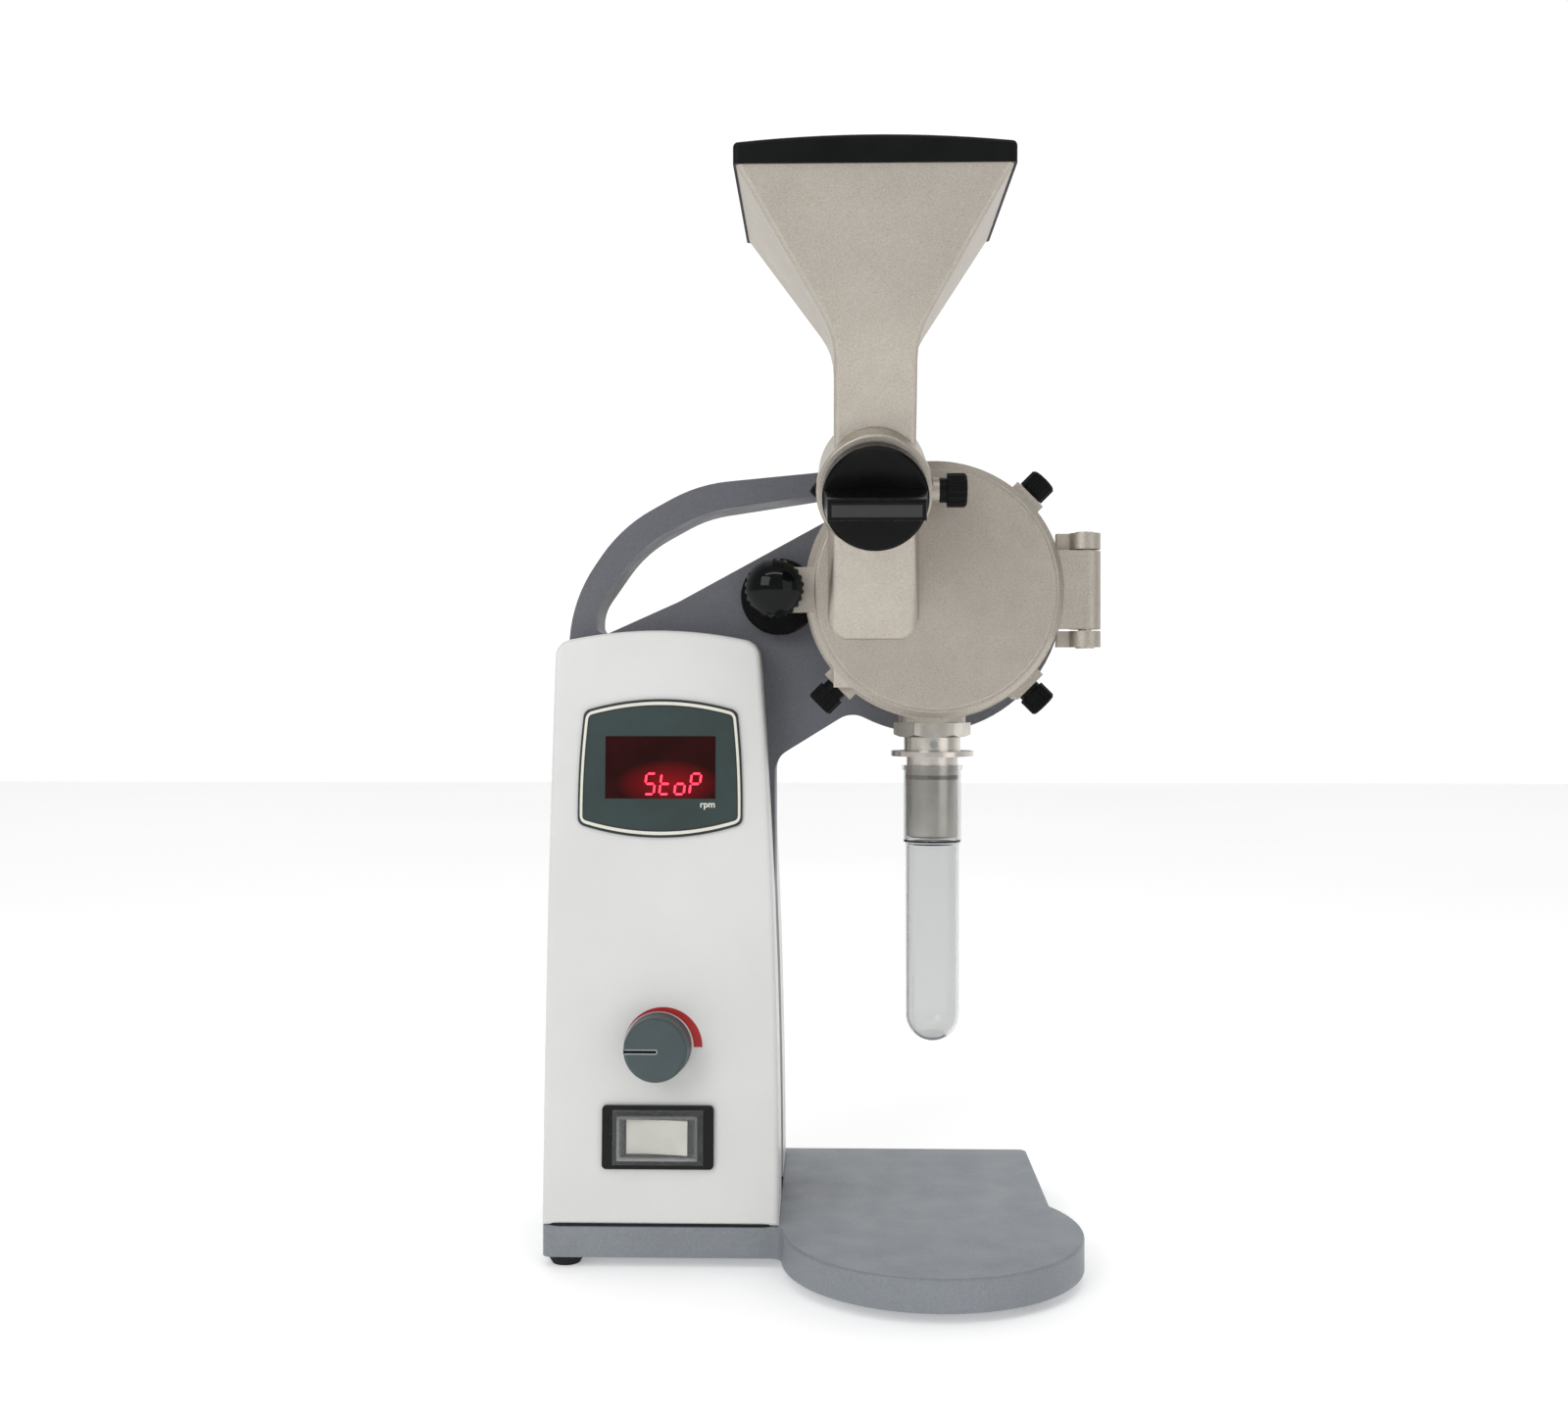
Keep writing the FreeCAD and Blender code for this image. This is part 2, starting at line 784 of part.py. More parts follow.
def rearHousing():
    body = newBody("rear_housing")
    shape = newSketch(body, "XZ_Plane", -plateBack)
    housingOutline(shape, Size("0", 0))
    pad(body, shape, d.housingRearDepth, reverse=True)
    leanCut(body, plateBack + d.housingRearDepth, -1)
    shellOut(body, plateBack, plateBack + d.housingRearDepth)
    hole = newSketch(body, "XZ_Plane", -(plateBack + d.housingRearDepth))
    middle = d.inletLevel
    half = d.inletWidth / 2
    rectangle(hole, panelX - half, middle - d.inletTall / 2, half + panelX, middle + d.inletTall / 2)
    pocket(body, hole, d.housingWall * 4 + d.overrun, middle=True)
    return body


def shellOut(body, seat, front):
    # Rounds the outer edges of a shell and hollows it from its seat on the upright.
    shape = body.Tip.Shape
    faces = []
    for number, face in enumerate(shape.Faces, 1):
        box = face.BoundBox
        flat = abs(box.YMin - seat.value) < 1e-4 and abs(box.YMax - seat.value) < 1e-4
        under = box.ZMax < baseTop.value + 1e-4
        if flat or under:
            faces.append(f"Face{number}")
    hollow = body.newObject("PartDesign::Thickness", f"{body.Label}_hollow")
    hollow.Base = (body.Tip if body.Tip != hollow else hollow.BaseFeature, faces)
    hollow.Reversed = True
    hollow.Join = 1
    bind(hollow, "Value", d.housingWall)
    doc.recompute()
    left = d.housingLeftInset - d.baseHalfWidth
    right = d.housingWidth - d.baseHalfWidth - d.housingRightInset
    height = d.housingShoulder
    leanAt = (height - baseTop) * panelSlope * (1 if seat.value > front.value else -1)
    spots = [(left, (seat + front + leanAt) / 2, height), (right, (seat + front + leanAt) / 2, height)]
    fillet(body, nearest(body, spots), d.housingCornerRadius)
    outer = edgesWhere(body, lambda e: isPanelRim(e, front.value, seat.value))
    fillet(body, outer, d.housingEdgeRadius)


def isPanelRim(edge, front, seat):
    # Edges of the leaning outer face, from the sheet's own lean, apart from the one at the base.
    away = 1 if seat > front else -1
    spots = [vertex.Point for vertex in edge.Vertexes]
    for spot in spots:
        expected = front + away * (spot.z - baseTop.value) * panelSlope.value
        if abs(spot.y - expected) > 1e-3:
            return False
    return min(spot.z for spot in spots) != max(spot.z for spot in spots) or spots[0].z > baseTop.value + 1


def bindPanel(sketch):
    # Puts a sketch on the leaning panel, measured upwards from the panel's foot.
    height = baseTop
    sketch.AttachmentOffset = FreeCAD.Placement(
        FreeCAD.Vector(0, height.value, d.baseFront.value),
        FreeCAD.Rotation(FreeCAD.Vector(1, 0, 0), -d.panelLean.value))
    bind(sketch, "AttachmentOffset.Base.y", height)
    doc.recompute()


def panelHole(body, height, width, tall):
    face = newSketch(body, "XZ_Plane", d.baseFront, -d.panelLean)
    middle = (height - baseTop) / cosine(d.panelLean)
    rectangle(face, panelX - width / 2, middle - tall / 2, width / 2 + panelX, middle + tall / 2)
    bindPanel(face)
    pocket(body, face, d.housingWall * 2 + d.overrun, middle=True)


def onPanel(height, out=0):
    # A place on the leaning panel, out along its normal.
    rise = (height - baseTop) * panelSlope
    return (panelX, rise - d.baseFront - out * cosine(d.panelLean), height + out * sine(d.panelLean))


def panelBody(label, height, out=0):
    return newBody(label, onPanel(height, asSize(out)), "front", -d.panelLean)


def displayBezel():
    body = panelBody("display_bezel", d.bezelHeight)
    face = newSketch(body, "XY_Plane")
    half = d.bezelSideHeight / 2
    top = d.bezelTopWidth / 2
    bottom = d.bezelBottomWidth / 2
    outline(face, [
        (-bottom, -half, d.bezelBow), (bottom, -half, d.bezelSideBow),
        (top, half, d.bezelBow), (-top, half, d.bezelSideBow),
    ])
    pad(body, face, d.bezelThickness)
    spots = [(x, y, d.bezelThickness / 2) for x, y in ((-bottom, -half), (bottom, -half), (top, half), (-top, half))]
    fillet(body, nearest(body, spots), d.bezelCornerRadius)
    hole = newSketch(body, "XY_Plane")
    wide = (d.windowWidth - d.boardMargin / 2) / 2
    tall = (d.windowHeight - d.boardMargin / 2) / 2
    rectangle(hole, -wide, -tall, wide, tall)
    pocket(body, hole, d.bezelThickness, reverse=True)
    seat = newSketch(body, "XY_Plane", d.bezelThickness)
    wide = d.windowWidth / 2 + d.runningGap
    tall = d.windowHeight / 2 + d.runningGap
    rectangle(seat, -wide, -tall, wide, tall)
    pocket(body, seat, d.bezelThickness / 2)
    return body


def displayWindow():
    body = panelBody("display_window", d.bezelHeight, d.bezelThickness / 2)
    face = newSketch(body, "XY_Plane")
    rectangle(face, -d.windowWidth / 2, -d.windowHeight / 2, d.windowWidth / 2, d.windowHeight / 2)
    pad(body, face, d.bezelThickness / 2 + d.smallGap)
    return body


def displayBoard():
    # Circuit board with the digit block that shows through the window.
    inner = -(d.housingWall + d.displayDepth)
    body = panelBody("display_board", d.bezelHeight, inner)
    face = newSketch(body, "XY_Plane")
    wide = d.windowWidth / 2 + d.boardMargin
    tall = d.windowHeight / 2 + d.boardMargin
    rectangle(face, -wide, -tall, wide, tall)
    pad(body, face, d.boardThickness)
    block = newSketch(body, "XY_Plane", d.boardThickness)
    wide = d.windowWidth / 2 - d.boardMargin / 2
    tall = d.windowHeight / 2 - d.boardMargin / 2
    rectangle(block, -wide, -tall, wide, tall)
    pad(body, block, d.displayDepth - d.boardThickness)
    posts = newSketch(body, "XY_Plane", d.boardThickness)
    for x in (-1, 1):
        for y in (-1, 1):
            ring(posts, x * (d.windowWidth / 2 + d.boardMargin / 2), y * (d.windowHeight / 2 + d.boardMargin / 2),
                 d.boardThickness)
    pad(body, posts, d.displayDepth - d.boardThickness)
    return body


def speedPotentiometer():
    body = panelBody("speed_potentiometer", d.knobHeight, -d.housingWall - d.potBodyDepth)
    profile = newSketch(body, "XZ_Plane")
    neck = d.potBodyDepth
    tip = neck + d.housingWall + d.potShaftReach
    outline(profile, [
        (0, 0), (d.potBodyRadius, 0), (d.potBodyRadius, neck), (d.potShaftRadius, neck),
        (d.potShaftRadius, tip), (0, tip),
    ])
    spin(body, "Revolution", profile)
    return body


def speedKnob():
    body = panelBody("speed_knob", d.knobHeight, d.knobGap)
    profile = newSketch(body, "XZ_Plane")
    edge = d.knobEdgeRadius
    bore = d.potShaftRadius + d.runningGap
    deep = d.potShaftReach - d.knobGap + d.smallGap
    outline(profile, [
        (bore, 0), (d.knobBaseRadius, 0), (d.knobFrontRadius, d.knobDepth - edge, edge * 1.6),
        (d.knobFrontRadius - edge, d.knobDepth), (0, d.knobDepth), (0, deep), (bore, deep),
    ])
    spin(body, "Revolution", profile)
    groove = newSketch(body, "XY_Plane", d.knobDepth)
    rectangle(groove, -d.knobFrontRadius, -d.pointerWidth / 2, -d.pointerWidth, d.pointerWidth / 2)
    pocket(body, groove, d.pointerDepth)
    return body


def switchBody():
    # Bezel and well of the mains switch, with a pin across the well for the rocker.
    body = panelBody("switch_body", d.switchHeight)
    face = newSketch(body, "XY_Plane")
    rectangle(face, -d.switchWidth / 2, -d.switchTall / 2, d.switchWidth / 2, d.switchTall / 2)
    pad(body, face, d.switchFlange)
    spots = [(x * d.switchWidth / 2, y * d.switchTall / 2, d.switchFlange / 2) for x in (-1, 1) for y in (-1, 1)]
    fillet(body, nearest(body, spots), d.switchFlange)
    well = newSketch(body, "XY_Plane")
    wide = d.switchWidth / 2 - d.switchWall - d.smallGap
    tall = d.switchTall / 2 - d.switchWall - d.smallGap
    rectangle(well, -wide, -tall, wide, tall)
    pad(body, well, d.switchBodyDepth, reverse=True)
    hollow = newSketch(body, "XY_Plane", d.switchFlange)
    wide = d.rockerWidth / 2 + d.rockerSwing
    tall = d.rockerTall / 2 + d.smallGap
    rectangle(hollow, -wide, -tall, wide, tall)
    pocket(body, hollow, d.switchBodyDepth - d.switchWall)
    pin = newSketch(body, "XZ_Plane", -d.rockerTall / 2 - d.switchWall / 2)
    ring(pin, 0, -d.rockerDepth / 2, d.rockerPinRadius)
    pad(body, pin, d.rockerTall + d.switchWall)
    return body


def rocker():
    # Paddle that tips on the pin, drawn with its left end pressed in.
    body = newBody("rocker", onPanel(d.switchHeight, -d.rockerDepth / 2), "front", -d.panelLean)
    face = newSketch(body, "XZ_Plane", -d.rockerTall / 2)
    half = d.rockerWidth / 2
    lift = d.rockerDepth / 2 + d.switchFlange + d.rockerProud
    drop = half * tangent(d.rockerTilt)
    waist = d.rockerPinRadius * 2
    outline(face, [
        (-half + drop, -waist), (half - drop, -waist + drop),
        (half - d.rockerDraft, lift + drop - d.rockerProud / 2, -half * 5), (-half, lift - drop - d.rockerProud),
    ])
    pad(body, face, d.rockerTall)
    hole = newSketch(body, "XZ_Plane")
    ring(hole, 0, 0, d.rockerPinRadius + d.runningGap)
    pocket(body, hole, d.rockerTall + d.overrun, middle=True)
    return body


def splashCap():
    # Clear cap over the rocker, a thin box with a rim that lies on the bezel.
    body = panelBody("splash_cap", d.switchHeight, d.switchFlange)
    rim = newSketch(body, "XY_Plane")
    wide = d.capWidth / 2
    tall = d.capTall / 2
    rectangle(rim, -wide - d.capFlange, -tall - d.capFlange, wide + d.capFlange, tall + d.capFlange)
    pad(body, rim, d.capWall)
    box = newSketch(body, "XY_Plane")
    rectangle(box, -wide, -tall, wide, tall)
    pad(body, box, d.capDepth)
    top = d.capDepth.value
    fillet(body, edgesWhere(body, lambda e: e.BoundBox.ZMin > top - 1e-6), d.capFlange)
    hollow = newSketch(body, "XY_Plane")
    wide = wide - d.capWall
    tall = tall - d.capWall
    rectangle(hollow, -wide, -tall, wide, tall)
    pocket(body, hollow, d.capDepth - d.capWall, reverse=True)
    return body


def controlBoard():
    body = newBody("control_board")
    face = newSketch(body, "XZ_Plane", d.plateFront)
    middle = d.controlBoardLevel
    wide = d.controlBoardWidth / 2
    tall = d.controlBoardHeight / 2
    rectangle(face, panelX - wide, middle - tall, wide + panelX, middle + tall)
    pad(body, face, d.boardMargin)
    return body


def mainsInlet():
    # Appliance inlet on the back, a flanged socket with three flat pins.
    body = newBody("mains_inlet")
    back = plateBack + d.housingRearDepth
    lean = (d.inletLevel - baseTop) * panelSlope
    flange = newSketch(body, "XZ_Plane", d.inletDepth / 2 + lean - back)
    half = d.inletWidth / 2 - d.smallGap
    tall = d.inletTall / 2 - d.smallGap
    middle = d.inletLevel
    rectangle(flange, panelX - half, middle - tall, half + panelX, middle + tall)
    pad(body, flange, d.inletDepth, middle=True)
    well = newSketch(body, "XZ_Plane", lean - back)
    half = half - d.inletFlange
    tall = tall - d.inletFlange
    rectangle(well, panelX - half, middle - tall, half + panelX, middle + tall)
    pocket(body, well, d.inletDepth - d.inletFlange * 2, reverse=True)
    return body


def onAxis(depth):
    # A place on the rotor axis, in front of the middle of the mill by the depth.
    return (d.axisX, -depth, d.axisHeight)


def bearingFlange():
    # Carries the shaft bearings in front of the upright, with a spigot through its bore.
    seat = d.bearingWidth + d.sealWidth
    bore = d.shaftRadius + d.smallGap
    body = turned("bearing_flange", [
        (d.bearingRadius, -d.spigotDepth), (d.spigotRadius, -d.spigotDepth), (d.spigotRadius, 0),
        (d.flangeRadius, 0), (d.flangeRadius, d.flangeThickness - d.bowlFloor),
        (d.flangeRadius - d.bowlFloor, d.flangeThickness), (d.bowlNoseRadius, d.flangeThickness),
        (d.bowlNoseRadius, d.flangeThickness + d.bowlFloor), (d.sealRadius, d.flangeThickness + d.bowlFloor),
        (d.sealRadius, d.flangeThickness + d.bowlFloor - d.sealWidth),
        (bore, d.flangeThickness + d.bowlFloor - d.sealWidth), (bore, d.flangeThickness - seat + d.bearingWidth),
        (d.bearingRadius, d.flangeThickness - seat + d.bearingWidth),
    ], onAxis(d.plateFront), "front")
    screw = newSketch(body, "XY_Plane", d.flangeThickness)
    reach = d.chamberScrewCircle * cosine(quarter)
    ring(screw, reach, reach, d.chamberScrewRadius + d.runningGap)
    repeat(body, pocket(body, screw, d.chamberScrewLength - d.bowlFloor + d.smallGap), 4)
    return body


def bearing(label, depth):
    # Sealed ball bearing drawn as one ring with a shallow shield on each side.
    inner = d.shaftRadius + d.runningGap
    step = d.bearingWidth / 10
    wall = (d.bearingRadius - inner) / 4
    return turned(label, [
        (inner, 0), (inner + wall, 0), (inner + wall, step), (d.bearingRadius - wall, step),
        (d.bearingRadius - wall, 0), (d.bearingRadius, 0), (d.bearingRadius, d.bearingWidth),
        (d.bearingRadius - wall, d.bearingWidth), (d.bearingRadius - wall, d.bearingWidth - step),
        (inner + wall, d.bearingWidth - step), (inner + wall, d.bearingWidth), (inner, d.bearingWidth),
    ], onAxis(depth), "front")


def shaftSeal():
    level = bowlBack + d.bowlFloor - d.sealWidth
    return tube("shaft_seal", d.shaftRadius + d.runningGap, d.sealRadius, 0, d.sealWidth, onAxis(level), "front")


def chamberBowl():
    # Open cup with four pads for the radial screws, two hinge ears and the outlet below.
    body = newBody("chamber_bowl", onAxis(bowlBack), "front")
    profile = newSketch(body, "XZ_Plane")
    outline(profile, [
        (d.bowlNoseRadius + d.runningGap, 0), (d.bowlRadius - d.coverBevel, 0), (d.bowlRadius, d.coverBevel),
        (d.bowlRadius, d.bowlDepth), (d.bowlInnerRadius, d.bowlDepth), (d.bowlInnerRadius, d.bowlFloor),
        (d.bowlNoseRadius + d.runningGap, d.bowlFloor),
    ])
    spin(body, "Revolution", profile)
    pads = newSketch(body, "XY_Plane")
    turnedRectangle(pads, d.bowlInnerRadius + d.bowlFloor, d.padReach, d.padWidth)
    repeat(body, pad(body, pads, d.bowlDepth - d.padSetback), 4)
    height = d.bowlDepth - d.hingeProud
    start = d.bowlInnerRadius + d.bowlFloor
    for level in (-(d.midKnuckle / 2 + d.knuckleGap + d.endKnuckle), d.midKnuckle / 2 + d.knuckleGap):
        web = newSketch(body, "XZ_Plane", -(level + d.endKnuckle))
        rectangle(web, start, height - d.lugThickness, d.hingeOffset, height)
        pad(body, web, d.endKnuckle)
        barrel = newSketch(body, "XZ_Plane", -(level + d.endKnuckle))
        ring(barrel, d.hingeOffset, height, d.barrelRadius)
        pad(body, barrel, d.endKnuckle)
    relief = newSketch(body, "XZ_Plane", -(d.midKnuckle / 2 + d.knuckleGap))
    ring(relief, d.hingeOffset, height, d.barrelRadius + d.knuckleGap)
    pocket(body, relief, d.midKnuckle + d.knuckleGap * 2, reverse=True)
    pinHole = newSketch(body, "XZ_Plane")
    ring(pinHole, d.hingeOffset, height, d.hingePinRadius + d.runningGap)
    pocket(body, pinHole, d.midKnuckle * 2, middle=True)
    outletDepth = d.bowlDepth - d.outletSetback
    boss = newSketch(body, "XZ_Plane", d.axisHeight - d.outletLevel)
    ring(boss, 0, outletDepth, d.nutAcrossFlats / 2)
    pad(body, boss, d.axisHeight - d.outletLevel - start, reverse=True)
    outlet = newSketch(body, "XZ_Plane", d.bowlInnerRadius - d.overrun)
    ring(outlet, 0, outletDepth, d.outletThreadRadius + d.runningGap)
    pocket(body, outlet, d.overrun * 3, reverse=True)
    radialHoles(body, d.bowlDepth - d.thumbLevel)
    sink = newSketch(body, "XY_Plane")
    reach = d.chamberScrewCircle * cosine(quarter)
    ring(sink, reach, reach, d.chamberScrewRadius + d.smallGap)
    repeat(body, pocket(body, sink, d.bowlFloor + d.overrun, reverse=True), 4)
    heads = newSketch(body, "XY_Plane", d.bowlFloor - d.chamberScrewHeadHeight)
    ring(heads, reach, reach, d.chamberScrewHeadRadius + d.smallGap)
    repeat(body, pocket(body, heads, d.overrun, reverse=True), 4)
    return body


def turnedRectangle(sketch, near, far, width):
    # A rectangle that stands off from the axis at 45 degrees.
    half = width / 2
    corners = [(near, -half), (far, -half), (far, half), (near, half)]
    lean = cosine(quarter)
    outline(sketch, [((x - y) * lean, (x + y) * lean) for x, y in corners])


def radialHoles(body, level):
    # Clear holes for the four radial screws, from one hole at 45 degrees repeated about the axis.
    hole = newSketch(body, "YZ_Plane")
    reach = (d.bowlInnerRadius - d.overrun) * cosine(quarter)
    hole.AttachmentOffset = FreeCAD.Placement(
        FreeCAD.Vector(reach.value, 0, reach.value),
        FreeCAD.Rotation(FreeCAD.Vector(0, 1, 0), quarter.value))
    bind(hole, "AttachmentOffset.Base.x", reach)
    bind(hole, "AttachmentOffset.Base.z", reach)
    ring(hole, 0, level, d.thumbShankRadius + d.runningGap)
    repeat(body, pocket(body, hole, d.overrun * 3, reverse=True), 4)


def chamberScrews():
    # Screws that clamp the bowl to the flange, with their heads sunk in the floor of the bowl.
    body = newBody("chamber_screws", onAxis(bowlBack), "front")
    reach = d.chamberScrewCircle * cosine(quarter)
    seat = d.bowlFloor - d.chamberScrewHeadHeight
    head = newSketch(body, "XY_Plane", seat)
    ring(head, reach, reach, d.chamberScrewHeadRadius)
    repeat(body, pad(body, head, d.chamberScrewHeadHeight), 4)
    shank = newSketch(body, "XY_Plane", seat)
    ring(shank, reach, reach, d.chamberScrewRadius)
    repeat(body, pad(body, shank, d.chamberScrewLength - d.chamberScrewHeadHeight, reverse=True), 4)
    return body


def sieveRing():
    # Slotted screen between the beaters and the bowl.
    low = d.bowlFloor + d.smallGap
    high = d.bowlDepth - d.smallGap
    outer = d.sieveInnerRadius + d.sieveWall
    body = tube("sieve_ring", d.sieveInnerRadius, outer, low, high, onAxis(bowlBack), "front")
    slot = newSketch(body, "YZ_Plane", d.sieveInnerRadius - d.sieveWall)
    half = d.sieveSlotWidth / 2
    middle = (low + high) / 2
    rise = (high - low) / 3
    rectangle(slot, -half, middle - rise, half, middle + rise)
    repeat(body, pocket(body, slot, d.sieveWall * 3, reverse=True), d.sieveSlotCount)
    return body


def rotorShaft():
    # Stepless shaft from the fan behind the motor to the nut in the chamber.
    behind = plateBack + d.motorLength
    front = bowlBack + d.bowlFloor + d.rotorDiscThickness + d.rotorNutHeight + d.runningGap * 10
    profile = [
        (0, -behind), (d.shaftRadius - d.smallGap, -behind), (d.shaftRadius, d.smallGap - behind),
        (d.shaftRadius, front - d.smallGap), (d.shaftRadius - d.smallGap, front), (0, front),
    ]
    return turned("rotor_shaft", profile, onAxis(Size("0", 0)), "front")


def grindingRotor():
    # Disc with a hub and four upright beaters that sweep the inside of the screen.
    gap = d.smallGap * 3
    body = newBody("grinding_rotor", onAxis(bowlBack + d.bowlFloor + gap), "front")
    profile = newSketch(body, "XZ_Plane")
    bore = d.shaftRadius
    outline(profile, [
        (bore, 0), (d.rotorRadius, 0), (d.rotorRadius, d.rotorDiscThickness), (d.rotorHubRadius, d.rotorDiscThickness),
        (d.rotorHubRadius, d.rotorDiscThickness + d.smallGap * 2), (bore, d.rotorDiscThickness + d.smallGap * 2),
    ])
    spin(body, "Revolution", profile)
    beater = newSketch(body, "XY_Plane")
    half = d.beaterWidth / 2
    outline(beater, [
        (d.beaterInnerRadius, -half), (d.beaterReach - half, -half), (d.beaterReach, 0),
        (d.beaterReach - half, half), (d.beaterInnerRadius, half),
    ])
    repeat(body, pad(body, beater, d.beaterDepth + d.rotorDiscThickness), 4)
    return body


def rotorNut():
    level = bowlBack + d.bowlFloor + d.smallGap * 5 + d.rotorDiscThickness
    body = newBody("rotor_nut", onAxis(level), "front")
    face = newSketch(body, "XY_Plane")
    hexagon(face, d.rotorNutRadius)
    pad(body, face, d.rotorNutHeight)
    hole = newSketch(body, "XY_Plane")
    ring(hole, 0, 0, d.shaftRadius)
    pocket(body, hole, d.rotorNutHeight, reverse=True)
    return body


def hexagon(sketch, reach):
    # Six sides with the corners at the reach.
    corners = []
    for angle in range(0, 360, 60):
        turn = Size(str(angle), angle)
        corners.append((reach * cosine(turn), reach * sine(turn)))
    outline(sketch, corners)


def thumbscrew(label, place, shank, radius, tilt=0):
    # Ribbed moulded head on a collar, with a plain shank. Its origin is under the collar.
    body = newBody(label, place, "right", tilt)
    profile = newSketch(body, "XZ_Plane")
    top = d.thumbCollarHeight + d.thumbHeadHeight
    edge = d.thumbRibRadius
    outline(profile, [
        (0, -shank), (d.thumbShankRadius, -shank), (d.thumbShankRadius, 0), (d.thumbCollarRadius, 0),
        (d.thumbCollarRadius, d.thumbCollarHeight), (radius, d.thumbCollarHeight),
        (radius, top - edge), (radius - edge, top), (0, top),
    ])
    spin(body, "Revolution", profile)
    notch = newSketch(body, "XY_Plane", d.thumbCollarHeight)
    ring(notch, radius + d.thumbRibRadius / 3, 0, d.thumbRibRadius)
    repeat(body, pocket(body, notch, d.thumbHeadHeight + d.overrun, reverse=True), d.thumbRibCount)
    return body


def radialPlace(reach, side):
    # A place beside the bowl, at an angle in the mill's front view.
    turn = Size(str(side), side)
    return (d.axisX + reach * cosine(turn), thumbY, d.axisHeight + reach * sine(turn))


def radialScrew(number, side):
    padTop = d.sieveInnerRadius + d.sieveWall + d.smallGap + d.clampPadHeight
    reach = d.padReach + d.smallGap
    thumbscrew(f"thumbscrew_{number}", radialPlace(reach, side), reach - padTop, d.thumbHeadRadius, -side)
    body = newBody(f"clamp_pad_{number}", radialPlace(padTop - d.clampPadHeight, side), "right", -side)
    face = newSketch(body, "XY_Plane")
    ring(face, 0, 0, d.clampPadRadius)
    pad(body, face, d.clampPadHeight)
    return body


def hingePin():
    half = d.midKnuckle / 2 + d.knuckleGap + d.endKnuckle
    head = d.hingePinHeadRadius
    return turned("hinge_pin", [
        (0, -half - d.hingePinHead), (head, -half - d.hingePinHead), (head, -half), (d.hingePinRadius, -half),
        (d.hingePinRadius, half), (head, half), (head, half + d.hingePinHead), (0, half + d.hingePinHead),
    ], (hingeX, hingeY, d.axisHeight))


def chuteFront(height):
    # The depth of the leaning front of the chute at a height.
    return -coverFront - (height - d.chuteFootHeight) * chuteSlope


def bossPlace():
    return (d.chuteX, -d.bossFaceY, d.bossFaceHeight)


